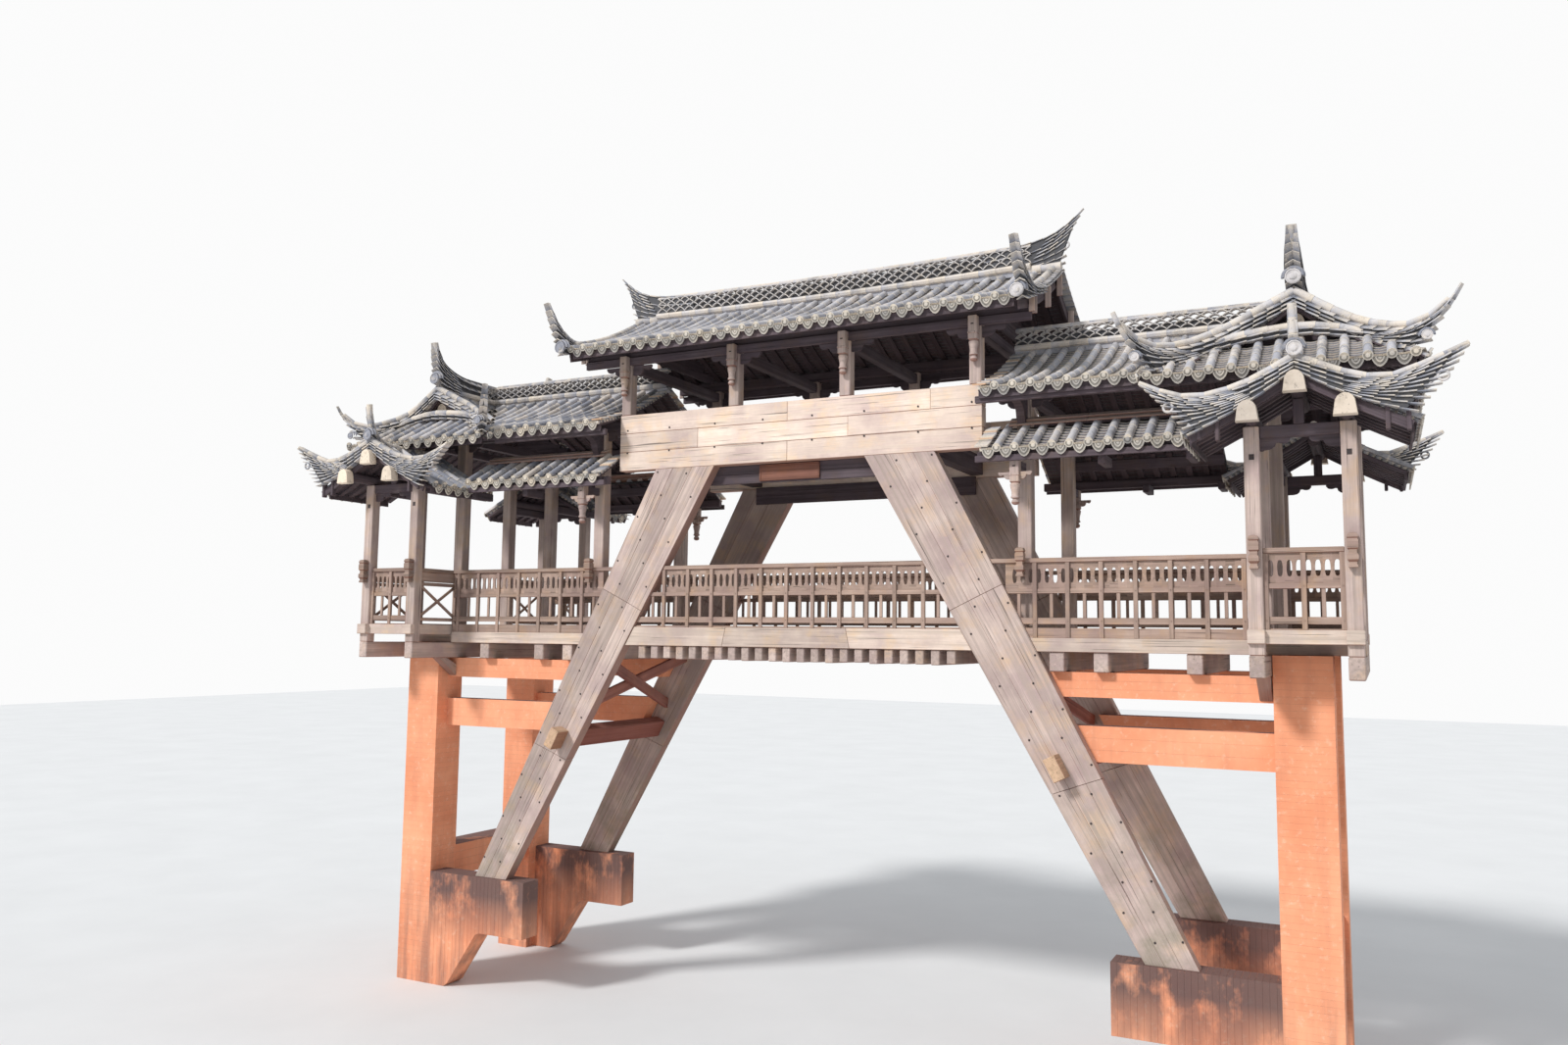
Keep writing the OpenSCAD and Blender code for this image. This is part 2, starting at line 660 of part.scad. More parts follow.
// Beams on the posts of the right end, with the brackets and boards on them
module tie_beams() {
    inner = post_y + post_w / 2;
    corbel_y = side_eave_y - 170;
    color(dark_timber) {
        both_sides() {
            block([beam_half + 20, -post_y - plate_w / 2, post_top],
                  [porch_x2 + post_w / 2, -post_y + plate_w / 2, plate_top]);
            block([porch_x + porch_post_w / 2, -porch_y - 60, porch_post_top - 150],
                  [porch_x2 - porch_post_w / 2, -porch_y + 60, porch_post_top]);
            for (x = [porch_x, porch_x2])
                block([x - 60, -porch_y + porch_post_w / 2, porch_post_top - 150],
                      [x + 60, -inner, porch_post_top]);
            for (at = [[-purlin_at, low_purlin_z], [0, high_purlin_z], [purlin_at, low_purlin_z]])
                translate([porch_mid + at[0], -porch_front_y, at[1]]) rotate([-90, 0, 0])
                    cylinder(r = purlin_r, h = porch_front_y - inner);
            block([porch_mid - 60, -porch_y - 60, porch_post_top],
                  [porch_mid + 60, -porch_y + 60, high_purlin_z - purlin_r]);
            block([post_x - post_w / 2, -inner - 60, pent_ledger_z - 160],
                  [pent_x2, -inner, pent_ledger_z]);
            block([beam_half + 20, -pent_plate_y - 50, pent_plate_z - pent_plate_h],
                  [pent_x2, -pent_plate_y + 50, pent_plate_z]);
            for (x = [post_x, (post_x + pent_x2) / 2, pent_x2 - 60])
                block([x - 50, -pent_plate_y + (x == post_x ? pendant_w / 2 : -50),
                       pent_plate_z - 2 * pent_plate_h],
                      [x + 50, -inner - 60, pent_plate_z - pent_plate_h]);
            translate([0, -inner, side_under(corbel_y) - seat])
                corbel(corbel_y - inner, 420, post_x - 60, post_x + 60);
            for (at = [[post_x, [-1, 1]], [porch_x, [-1, 1]], [porch_x2, [-1]]])
                translate([at[0], -post_y, post_top]) bracket_pair(at[1]);
            intersection() {
                translate([0, 0, -roof_t - seat]) side_roof_solid(cross_eave_z - roof_t);
                block([cross_x - gable_board_reach, -post_y, plate_top],
                      [porch_x2 + post_w / 2, -post_y + gable_board_t, side_ridge_z]);
            }
        }
        for (x = [post_x, porch_x, porch_x2])
            block([x - 70, -post_y + plate_w / 2, post_top], [x + 70, post_y - plate_w / 2, post_top + 150]);
    }
}

module middle_roof() {
    color(tile) cross_plate(shell_outline(middle_eave_y, middle_ridge_z, middle_eave_z),
                            -middle_half, middle_half);
}

// Width of the rows of tiles along ridges and gable edges, and of the horns
verge_w = 120;
horn_t = 110;

// Outline of an upswept horn at a ridge's end: its upper line rises late from
// (-start, height) to (reach, rise), and its end is cut upright at x = 0
function horn(start, reach, height, rise) = concat(
    [for (i = [0 : 8]) let(s = i / 8) [s * (start + reach) - start, height + (rise - height) * pow(s, 3)]],
    [for (i = [6 : -1 : 0]) let(s = i / 7) [40 + (reach - 40) * s, 0.48 * rise + 0.48 * rise * pow(s, 1.4)]],
    [[0, 0], [-start, 0]]);

// Outline of a row of tiles that leaves the roof and ends in a thin upswept
// tip: upper and lower are a few points of its two edges
function wing(upper, lower) = concat(smooth(upper), back(smooth(lower)));

// Room under a roof's surface, cut out of the ridges that ride on it
module middle_roof_solid() {
    cross_plate(gable_outline(middle_eave_y, middle_ridge_z, middle_eave_z, middle_eave_z - 500),
                -middle_half, middle_half);
}

// Outline in Y and Z of the tiles along one gable edge of the middle roof,
// front half, with the horn at the eave's corner
function middle_verge() =
    let(upper = [for (p = slope_points(0.75 * middle_eave_y, middle_ridge_z,
                                       roof_level(middle_ridge_z, middle_eave_z, 0.75), 0.05)) p + [0, 110]],
        tip = [middle_eave_y + 500, middle_eave_z + 640])
    concat(upper,
           tail(smooth([upper[len(upper) - 1], [middle_eave_y - 230, middle_eave_z + 190],
                        [middle_eave_y + 150, middle_eave_z + 300], tip])),
           smooth([tip - [20, 50], [middle_eave_y + 200, middle_eave_z + 160],
                   [middle_eave_y + 60, middle_eave_z - 160]]),
           [[middle_eave_y - 100, middle_eave_z - 160], [0, middle_ridge_z - 150]]);

// Straight ridge along X above z = 0: broad foot, thin wall and capping
module ridge_wall(x0, x1) {
    for (course = [[-100, 160, verge_w], [0, ridge_h, 60], [ridge_h - 80, ridge_h, 100]])
        block([x0, -course[2] / 2, course[0]], [x1, course[2] / 2, course[1]]);
}

module middle_ridge() {
    end = middle_half + 30;
    color(tile) difference() {
        union() {
            translate([0, 0, middle_ridge_z]) ridge_wall(-end + 100, end - 100);
            for (turn = [0, 180]) rotate(turn) {
                translate([end, 0, middle_ridge_z])
                    upright_plate(horn(1100, 340, ridge_h, 1000), -horn_t / 2, horn_t / 2);
                both_sides() cross_plate([for (p = middle_verge()) [-p[0], p[1]]], end - verge_w, end);
            }
        }
        middle_roof_solid();
    }
}

skirt_top_z = 9900;
function cross_slope(reach) = slope_points(reach, side_ridge_z, cross_eave_z);

// Solid under the surface of the roof over the right end: a gable roof along
// the bridge that runs into a hipped gable roof across it
module side_roof_solid(base) {
    cross_plate(gable_outline(side_eave_y, side_ridge_z, side_eave_z, base), beam_half + 20, cross_x);
    intersection() {
        upright_plate(
            concat([[cross_in, base]],
                   [for (p = concat(flip(cross_slope(cross_x - cross_in)),
                                    tail(cross_slope(cross_out - cross_x)))) p + [cross_x, 0]],
                   [[cross_out, base]]),
            -cross_eave_y, cross_eave_y);
        cross_plate([
            [-cross_eave_y, base], [-cross_eave_y, cross_eave_z], [-gable_y, skirt_top_z],
            [-gable_y, side_ridge_z + 100], [gable_y, side_ridge_z + 100], [gable_y, skirt_top_z],
            [cross_eave_y, cross_eave_z], [cross_eave_y, base]
        ], cross_in, cross_out);
    }
}

module side_roof() {
    base = cross_eave_z - roof_t;
    color(tile) difference() {
        side_roof_solid(base);
        translate([0, 0, -roof_t]) side_roof_solid(base - 10);
    }
}

// How far the gable's tiled edges run inwards and outwards from its ridge, and
// how far they reach behind and in front of the gable
gable_verge_x = [920, 750];
gable_verge_y = [120, 100];

// Outline of the tiles along a hip of the end roof, in distance from the
// gable's foot and height: they dip to the eave and end in a horn
function hip_wing(len) = wing(
    [[0, skirt_top_z + 190], [0.3 * len, skirt_top_z + 40], [0.6 * len, skirt_top_z - 40],
     [0.78 * len, skirt_top_z + 40], [0.9 * len, skirt_top_z + 190], [len, skirt_top_z + 370]],
    [[0, skirt_top_z - 100], [0.5 * len, skirt_top_z - 380], [0.76 * len, skirt_top_z - 400],
     [0.86 * len, skirt_top_z - 120], [len - 25, skirt_top_z + 320]]);

// Tiles along one hip, from the foot of the gable's edge to a tip, both given
// as distances along and across the bridge
module hip(foot, tip) {
    run = tip - foot;
    translate([foot[0], foot[1], 0]) rotate([0, 0, atan2(run[1], run[0])])
        upright_plate(hip_wing(norm(run)), -horn_t / 2, horn_t / 2);
}

// Ridges, gable edges, hips and horns of the right end's upper roof
module side_ridge() {
    base = cross_eave_z - roof_t;
    foot_y = -gable_y - 50;
    tips = [[cross_in - 250, -cross_eave_y - 300], [cross_out + 400, -cross_eave_y + 100]];
    feet = [[cross_x - gable_verge_x[0], foot_y], [cross_x + gable_verge_x[1], foot_y]];
    color(tile) difference() {
        union() {
            translate([0, 0, side_ridge_z]) ridge_wall(beam_half + 40, cross_x);
            translate([cross_x, 0, side_ridge_z]) rotate(90) ridge_wall(-gable_y, gable_y);
            both_sides() {
                translate([cross_x, foot_y, side_ridge_z]) rotate(-90)
                    upright_plate(horn(1150, 120, ridge_h, 980), -horn_t / 2, horn_t / 2);
                upright_plate(concat(
                    [for (p = back(cross_slope(cross_x - cross_in)))
                        if (p[0] < gable_verge_x[0]) [cross_x - p[0], p[1] + 110]],
                    [for (p = tail(cross_slope(cross_out - cross_x)))
                        if (p[0] < gable_verge_x[1]) [cross_x + p[0], p[1] + 110]],
                    [[feet[1][0], skirt_top_z + 180], [feet[1][0], skirt_top_z - 50],
                     [cross_x, side_ridge_z - 120],
                     [feet[0][0], skirt_top_z - 50], [feet[0][0], skirt_top_z + 180]]),
                    -gable_y - gable_verge_y[1], -gable_y + gable_verge_y[0]);
                block([feet[0][0], -gable_y - 90, skirt_top_z - 60],
                      [feet[1][0], -gable_y, skirt_top_z + 60]);
                for (i = [0, 1]) hip(feet[i], tips[i]);
            }
        }
        side_roof_solid(base);
    }
}

// Outline of the tiles along half of a porch roof's front edge, in distance
// from its middle and height: a hollow curve that ends in a horn
function porch_wing() =
    let(end = [porch_half + 520, porch_ridge_z + 110])
    concat(
        smooth([[0, porch_ridge_z + 130], [450, porch_ridge_z - 100], [1030, porch_ridge_z - 250],
                [1400, porch_ridge_z - 170], end]),
        smooth([end - [20, 50], [porch_half + 230, porch_ridge_z - 290],
                [porch_half + 50, porch_ridge_z - 480], [porch_half, porch_eave_z - 20]]),
        [for (p = back(slope_points(porch_half, porch_ridge_z, porch_eave_z, porch_sag))) p - [0, 20]]);

// Porch roof with its gable to the front, right end
module porch_roof() {
    color(tile) both_sides() translate([porch_mid, 0, 0]) union() {
        upright_plate(shell_outline(porch_half, porch_ridge_z, porch_eave_z, porch_sag),
                      -porch_front_y, -post_y - post_w / 2);
        for (side = [0, 1]) mirror([side, 0, 0])
            upright_plate(porch_wing(), -porch_front_y - 80, -porch_front_y + 70);
        translate([0, -porch_front_y, porch_ridge_z - 60]) rotate(-90)
            upright_plate(horn(650, 150, 120, 810), -horn_t / 2, horn_t / 2);
    }
}

pent_y = 2000;
pent_x2 = 6060;
pent_slope = (pent_top_z - pent_eave_z) / (pent_y - post_y - post_w / 2);
pent_plate_y = 1830;
pent_plate_z = pent_eave_z - roof_t + pent_slope * (pent_y - pent_plate_y - 50);
pent_plate_h = 130;
pent_ledger_z = pent_top_z - roof_t - 60 * pent_slope;

// Low roof along the side of the right end
module pent_roof() {
    inner = post_y + post_w / 2;
    color(tile) both_sides() cross_plate([
        [-pent_y, pent_eave_z], [-inner, pent_top_z],
        [-inner, pent_top_z - roof_t], [-pent_y, pent_eave_z - roof_t]
    ], beam_half + 20, pent_x2);
}

cap_w = 260;
cap_len = 160;

// Pale cap over a purlin's end: an arch on a straight foot, front face at -Y
module cap() {
    rotate([90, 0, 0]) linear_extrude(cap_len) union() {
        circle(d = cap_w);
        translate([-cap_w / 2, -cap_w / 2]) square([cap_w, cap_w / 2]);
    }
}

// Caps over the ends of the porch purlins and under the tops of the gables
module purlin_caps() {
    color(cap_clay) four_ways() {
        for (at = [[-purlin_at, low_purlin_z], [0, high_purlin_z], [purlin_at, low_purlin_z]])
            translate([porch_mid + at[0], -porch_front_y, at[1]]) cap();
        translate([cross_x, -post_y, side_ridge_z - roof_t - 60 - cap_w / 2]) cap();
    }
}

pier();  // pier_front_right
left_side() pier();  // pier_front_left
rear_side() pier();  // pier_rear_right
rear_side() left_side() pier();  // pier_rear_left
pier_beams();  // pier_beams_right
left_side() pier_beams();  // pier_beams_left
leg();  // leg_front_right
left_side() leg();  // leg_front_left
rear_side() leg();  // leg_rear_right
rear_side() left_side() leg();  // leg_rear_left
leg_crossbeam();  // leg_crossbeam_right
left_side() leg_crossbeam();  // leg_crossbeam_left
leg_brace();  // leg_brace_right
left_side() leg_brace();  // leg_brace_left
top_beam();  // top_beam_front
rear_side() top_beam();  // top_beam_rear
top_crossbeams();
name_boards();
edge_beams_centre();
edge_beams();  // edge_beams_right
left_side() edge_beams();  // edge_beams_left
deck_joists();
deck_stringers();
deck_floor();
porch_knees();
railing_centre();  // railing_front_centre
railing_side();  // railing_front_right
left_side() railing_side();  // railing_front_left
rear_side() railing_centre();  // railing_rear_centre
rear_side() railing_side();  // railing_rear_right
rear_side() left_side() railing_side();  // railing_rear_left
posts();  // posts_right
left_side() posts();  // posts_left
upper_posts();
pendants();
tie_beams_centre();
tie_beams();  // tie_beams_right
left_side() tie_beams();  // tie_beams_left
middle_roof();
middle_ridge();
side_roof();  // side_roof_right
left_side() side_roof();  // side_roof_left
side_ridge();  // side_ridge_right
left_side() side_ridge();  // side_ridge_left
porch_roof();  // porch_roof_right
left_side() porch_roof();  // porch_roof_left
pent_roof();  // pent_roof_right
left_side() pent_roof();  // pent_roof_left
purlin_caps();
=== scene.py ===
import math

import bpy
import numpy as np
from bpy.props import FloatProperty, FloatVectorProperty, PointerProperty
from mathutils import Matrix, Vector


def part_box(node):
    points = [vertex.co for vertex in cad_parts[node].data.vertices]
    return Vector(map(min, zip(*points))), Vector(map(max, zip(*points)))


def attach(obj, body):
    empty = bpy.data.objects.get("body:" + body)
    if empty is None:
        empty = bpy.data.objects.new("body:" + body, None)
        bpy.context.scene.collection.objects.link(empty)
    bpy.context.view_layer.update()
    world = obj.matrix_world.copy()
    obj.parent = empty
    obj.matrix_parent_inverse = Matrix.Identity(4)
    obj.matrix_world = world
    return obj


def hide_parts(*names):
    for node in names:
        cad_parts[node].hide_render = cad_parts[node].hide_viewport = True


bl_info = {
    "name": "Covered timber bridge",
    "version": (1, 0, 0),
    "blender": (4, 5, 0),
    "location": "View3D > Sidebar > Bridge",
    "description": "Builds the timber, concrete and tiles of a covered bridge around its frame",
    "category": "Add Mesh",
}

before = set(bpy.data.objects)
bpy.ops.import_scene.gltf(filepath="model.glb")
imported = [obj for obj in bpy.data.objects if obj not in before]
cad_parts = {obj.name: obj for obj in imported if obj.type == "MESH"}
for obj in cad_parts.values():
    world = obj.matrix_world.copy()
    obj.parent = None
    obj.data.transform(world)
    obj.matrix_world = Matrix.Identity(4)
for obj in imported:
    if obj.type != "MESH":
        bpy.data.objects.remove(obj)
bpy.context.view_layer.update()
SIDES = {"right": 1, "left": -1}
ROWS = {"front": 1, "rear": -1}


def linear(r, g, b):
    """Linear colour of an 8-bit sRGB colour, by the 2.4 power of each channel."""
    return tuple(((c / 255 + 0.055) / 1.055) ** 2.4 for c in (r, g, b))


# Sizes and colours that a user may change


def length(name, text, value):
    return FloatProperty(name=name, description=text, default=value, min=0.0, unit="LENGTH")


def colour(name, text, value):
    return FloatVectorProperty(name=name, description=text, default=linear(*value),
                               min=0.0, max=1.0, size=3, subtype="COLOR")


class BridgeSizes(bpy.types.PropertyGroup):
    tile_pitch: length("Tile pitch", "Distance between two rows of cover tiles", 0.25)
    cover_radius: length("Cover radius", "Radius of a cover tile", 0.058)
    cover_tile: length("Cover length", "Length of a cover tile that shows", 0.3)
    pan_tile: length("Pan length", "Length of a pan tile that shows", 0.08)
    floor_board: length("Floor board", "Width of a floor board", 0.2)
    plank_gap: length("Plank gap", "Gap between two planks", 0.004)
    bolt_radius: length("Bolt radius", "Radius of a bolt head", 0.016)
    form_board: length("Form board", "Width of the boards that shaped the concrete", 0.085)


class BridgeColours(bpy.types.PropertyGroup):
    timber: colour("Timber", "Weathered timber of legs, posts and railings", (208, 187, 175))
    pale_timber: colour("Pale timber", "Bleached planks of the top and edge beams", (246, 224, 206))
    # Dark timber is sheltered wood, made darker and bluer as painted shade under the roofs
    dark_timber: colour("Dark timber", "Timber under the roofs, out of the weather", (100, 87, 92))
    red_timber: colour("Red timber", "Cross beams and braces between the legs", (178, 120, 104))
    railing: colour("Railing", "Timber of the railings", (182, 156, 140))
    cut_timber: colour("Cut timber", "Ends of the tenons", (208, 174, 142))
    plaque: colour("Plaque", "Bare name boards' middle plaques", (150, 102, 84))
    concrete: colour("Concrete", "Painted concrete of piers and beams", (247, 171, 131))
    tile: colour("Tile", "Grey clay tiles", (193, 191, 194))
    mortar: colour("Mortar", "Pale joints and growth of the tiles", (231, 217, 196))
    cap: colour("Cap", "Clay caps on the purlin ends", (238, 219, 196))
    # Bolt also colours the dark boxes of painted shade in post holes and notches
    bolt: colour("Bolt", "Bolt heads", (44, 40, 42))


def sizes():
    return bpy.context.scene.bridge_sizes


def colours():
    return bpy.context.scene.bridge_colours


# Shapes, as whole arrays

CORNERS = np.array([(i, j, k) for i in (0, 1) for j in (0, 1) for k in (0, 1)])
STEP = (4, 2, 1)


def unit(vectors):
    """Vectors of length one."""
    return vectors / np.linalg.norm(vectors, axis=-1, keepdims=True)


def spots(x, y, z):
    """Points from arrays or single numbers for x, y and z."""
    return np.stack(np.broadcast_arrays(x, y, z), -1).astype(float)


def cornered(rule):
    """Corners of timbers, (8, 3) or (n, 8, 3), from the rule that gives x, y
    and z of corner i, j, k as numbers or as arrays of n numbers."""
    return np.stack([spots(*rule(*corner)) for corner in CORNERS], -2)


def box_faces():
    """Faces of a box with cut edges. Point 3 c + a belongs to corner c and lies
    on the face whose normal is axis a. Each face is wound to face outwards."""
    quads = []
    for a in range(3):
        b, c = (x for x in range(3) if x != a)
        for p in (0, 1):
            quads.append([3 * (p * STEP[a] + i * STEP[b] + j * STEP[c]) + a
                          for i, j in ((0, 0), (1, 0), (1, 1), (0, 1))])
            for q in (0, 1):
                i = p * STEP[b] + q * STEP[c]
                quads.append([3 * i + b, 3 * (i + STEP[a]) + b, 3 * (i + STEP[a]) + c, 3 * i + c])
    tris = [[3 * i, 3 * i + 1, 3 * i + 2] for i in range(8)]
    spot = np.repeat(CORNERS - 0.5, 3, axis=0) * (0.8 + 0.2 * np.tile(np.eye(3), (8, 1)))
    for face in quads + tris:
        p = spot[face]
        if np.cross(p[1] - p[0], p[2] - p[0]) @ p.mean(0) < 0:
            face.reverse()
    return np.array(quads), np.array(tris)


BOX_QUADS, BOX_TRIS = box_faces()


def ring_faces(rings, around):
    """Faces of a tube whose ring k holds points k around + m, and the fans that
    close its two ends to middle points that come after the last ring."""
    k, m = np.meshgrid(np.arange(rings - 1) * around, np.arange(around), indexing="ij")
    n = (m + 1) % around
    quads = np.stack([k + m, k + n, k + around + n, k + around + m], -1).reshape(-1, 4)
    m, n, last, middle = m[0], n[0], (rings - 1) * around, rings * around
    return quads, np.concatenate([np.stack([0 * m + middle, n, m], -1),
                                  np.stack([0 * m + middle + 1, last + m, last + n], -1)])


class Shape:
    """Arrays of one piece: points, faces, grain coordinates in metres with x
    along the wood or tile, a tone from 0 to 1, and a mark where a joint shows
    or, below 0, where painted shadow falls."""

    def __init__(self, seed=1):
        self.rng = np.random.default_rng(seed)
        self.rows = []
        self.count = 0

    def add(self, points, quads, tris, grain, tone, mark=0.0):
        points = np.asarray(points, float).reshape(-1, 3)
        n = len(points)
        self.rows.append((points, np.asarray(quads, int).reshape(-1, 4) + self.count,
                          np.asarray(tris, int).reshape(-1, 3) + self.count,
                          np.broadcast_to(grain, (n, 3)), np.broadcast_to(tone, n),
                          np.broadcast_to(mark, n)))
        self.count += n

    def arrays(self):
        return [np.concatenate(part) for part in zip(*self.rows)]

    def mirrored(self, x=1, y=1):
        """The same shape seen in the planes x = 0 or y = 0, with its faces
        turned round where one mirror alone would leave them inside out."""
        points, quads, tris, grain, tone, mark = self.arrays()
        if x * y < 0:
            quads, tris = quads[:, ::-1], tris[:, ::-1]
        copy = Shape()
        shift = np.array([3.7 * x, 5.3 * y, 0.0])
        copy.add(points * (x, y, 1), quads, tris, grain + shift,
                 (tone + 0.31 * (x < 0) + 0.17 * (y < 0)) % 1.0, mark)
        return copy

    def join(self, other):
        self.add(*other.arrays())
        return self

    def both(self, x=False, y=False):
        """Adds the mirror images across the named planes."""
        if x:
            self.join(self.mirrored(x=-1))
        if y:
            self.join(self.mirrored(y=-1))
        return self


def hexes(shape, corners, cut=0.006, tone=None, mark=0.0):
    """Timbers with cut edges from (n, 8, 3) corners, numbered 4 i + 2 j + k with
    i along the grain. Each corner gives three points, each moved by the cut
    along the two edges of its face."""
    corners = np.asarray(corners, float).reshape(-1, 8, 3)
    n = len(corners)
    edge = np.stack([corners[:, np.arange(8) ^ s] - corners for s in STEP], axis=2)
    size = np.linalg.norm(edge, axis=3, keepdims=True)
    step = edge / size * np.minimum(cut, 0.4 * size)
    points = corners[:, :, None] + step.sum(2, keepdims=True) - step
    grain = CORNERS * size[..., 0].mean(1)[:, None] + shape.rng.uniform(0, 40, (n, 1, 3))
    tone = shape.rng.uniform(0, 1, n) if tone is None else np.broadcast_to(tone, n)
    first = 24 * np.arange(n)[:, None, None]
    shape.add(points, BOX_QUADS + first, BOX_TRIS + first,
              np.repeat(grain, 3, axis=1).reshape(-1, 3), np.repeat(tone, 24), mark)


def boxes(shape, low, high, along=0, cut=0.006, tone=None):
    """Upright boxes between (n, 3) corners, with the grain along one axis."""
    low, high = np.atleast_2d(low).astype(float), np.atleast_2d(high).astype(float)
    low, high = np.broadcast_arrays(low, high)
    corners = np.empty((len(low), 8, 3))
    for column in range(3):
        axis = (along + column) % 3
        pick = CORNERS[:, column].astype(bool)
        corners[:, :, axis] = np.where(pick, high[:, None, axis], low[:, None, axis])
    hexes(shape, corners, cut, tone)


def row(shape, at, half, y, z, along=0, cut=0.006, tone=None):
    """Upright boxes at places along x, each a half width to both sides, from
    one y and z to the other."""
    boxes(shape, spots(at - half, y[0], z[0]), spots(at + half, y[1], z[1]), along, cut, tone)


def beams(shape, start, end, wide, high, up=(0, 0, 1), cut=0.006, tone=None):
    """Straight timbers from start to end, whose section stands along up."""
    start, end = np.broadcast_arrays(np.atleast_2d(start).astype(float),
                                     np.atleast_2d(end).astype(float))
    run = end - start
    x = unit(run)
    y = unit(np.cross(np.broadcast_to(up, x.shape), x))
    z = np.cross(x, y)
    at = CORNERS - (0, 0.5, 0.5)
    hexes(shape, start[:, None] + at[:, :1] * run[:, None] + at[:, 1:2] * wide * y[:, None]
          + at[:, 2:] * high * z[:, None], cut, tone)


def sweep(shape, path, profile, side=None, wide=1.0, high=1.0, tone=None, mark=0.0,
          step=None, swell=1.0, ends=None):
    """A closed profile carried along a path: point m of ring k is path k plus
    side times x m times wide k plus up times y m times high k, with up square
    to the path and to side. With a step, each stretch is a tile of its own that
    rises by the step and grows by the swell to its far end, and the mark is a
    pair, for a tile's near and far ends. The path's two ends are closed to a
    middle point, or by the profile's faces in ends."""
    path, profile = np.asarray(path, float), np.asarray(profile, float)
    rings, around = len(path), len(profile)
    ahead = unit(np.gradient(path, axis=0))
    side = unit(np.cross((0, 0, 1), ahead) if side is None else np.broadcast_to(side, path.shape))
    up = unit(np.cross(ahead, side))
    wide, high = np.broadcast_to(wide, rings), np.broadcast_to(high, rings)
    if step is None:
        tone = np.full(rings, shape.rng.uniform() if tone is None else tone)
        mark = np.full(rings, mark)
    else:
        pick = np.repeat(np.arange(rings), 2)[1:-1]
        last = np.tile([0.0, 1.0], rings - 1)
        own = shape.rng.uniform(0, 1, rings - 1)
        tone = np.repeat(own if tone is None else np.clip(tone + 0.4 * own - 0.2, 0, 1), 2)
        mark = np.where(last > 0, mark[1], mark[0])
        path = path[pick] + up[pick] * (step * last)[:, None]
        side, up = side[pick], up[pick]
        wide, high = (size[pick] * (1 + (swell - 1) * last) for size in (wide, high))
        rings = len(path)
    x = profile[None, :, 0] * wide[:, None]
    y = profile[None, :, 1] * high[:, None]
    points = (path[:, None] + side[:, None] * x[..., None] + up[:, None] * y[..., None]).reshape(-1, 3)
    run = runs(path)
    grain = spots(run[:, None], x, y).reshape(-1, 3)
    tone, mark = np.repeat(tone, around), np.repeat(mark, around)
    quads, tris = ring_faces(rings, around)
    if ends is None:
        points = np.concatenate([points, [points[:around].mean(0), points[-around:].mean(0)]])
        grain = np.concatenate([grain, [[0, 0, 0], [run[-1], 0, 0]]])
        tone, mark = np.append(tone, tone[[0, -1]]), np.append(mark, mark[[0, -1]])
    else:
        quads, tris = np.concatenate([quads, ends[:, ::-1], ends + len(points) - around]), []
    shape.add(points, quads, tris, grain + shape.rng.uniform(0, 40, 3), tone, mark)


def circle(radius, sides=10):
    """Points of a circle: radius times the cosine and the sine of even shares
    of a full turn, from the x axis on."""
    turn = 2 * np.pi * np.arange(sides) / sides
    return radius * np.stack([np.cos(turn), np.sin(turn)], -1)


def oblong(wide, high, base=0.0):
    """A rectangle that is centred on x = 0 and stands on y = base."""
    return np.array([(wide / 2, base), (wide / 2, base + high), (-wide / 2, base + high), (-wide / 2, base)])


def lathe(profile, sides=12):
    """A small pattern turned about its z axis: ring k has radius and height
    profile k, and both ends are closed to a middle point."""
    profile = np.asarray(profile, float)
    turn = 2 * np.pi * (np.arange(sides) + 0.5) / sides
    radius, height = profile[:, :1], profile[:, 1:]
    points = spots(radius * np.cos(turn), radius * np.sin(turn), height).reshape(-1, 3)
    return (np.concatenate([points, spots(0, 0, height[[0, -1], 0])]), *ring_faces(len(profile), sides))


def stamp(shape, pattern, origin, axes, tone=None, mark=0.0):
    """Copies of a small pattern at (n, 3) places. The rows of axes, (3, 3) or
    (n, 3, 3), are where the pattern's x, y and z point."""
    points, quads, tris = pattern
    origin = np.atleast_2d(origin)
    axes = np.broadcast_to(axes, (len(origin), 3, 3))
    n, m = len(origin), len(points)
    first = m * np.arange(n)[:, None, None]
    tone = shape.rng.uniform(0, 1, n) if tone is None else np.broadcast_to(tone, n)
    grain = np.tile(points, (n, 1)) + np.repeat(shape.rng.uniform(0, 40, (n, 3)), m, axis=0)
    shape.add(origin[:, None] + points @ axes, quads + first, tris + first, grain,
              np.repeat(tone, m), mark)


def plates(shape, outline, low, high, plane="xz"):
    """An outline cut out of a board. It is drawn in x and z or in y and z, and
    the board lies between the two distances across that plane."""
    outline = np.asarray(outline, float)
    across = {"xz": (0, 1, 0), "yz": (1, 0, 0)}[plane]
    index = [0, 2] if plane == "xz" else [1, 2]
    flat = np.zeros((len(outline), 3))
    flat[:, index] = outline
    turn = np.roll(outline, -1, axis=0)
    area = (outline[:, 0] * turn[:, 1] - turn[:, 0] * outline[:, 1]).sum()
    if (area > 0) == (plane == "xz"):
        flat = flat[::-1]
    n = len(flat)
    points = np.concatenate([flat + np.multiply(across, low), flat + np.multiply(across, high)])
    m = np.arange(n)
    quads = np.stack([m, m + n, (m + 1) % n + n, (m + 1) % n], -1)
    order = np.array(ears(flat[:, index]))
    tris = np.concatenate([order, order[:, ::-1] + n])
    grain = points + shape.rng.uniform(0, 40, 3)
    shape.add(points, quads[:, ::-1], tris[:, ::-1], grain, shape.rng.uniform())


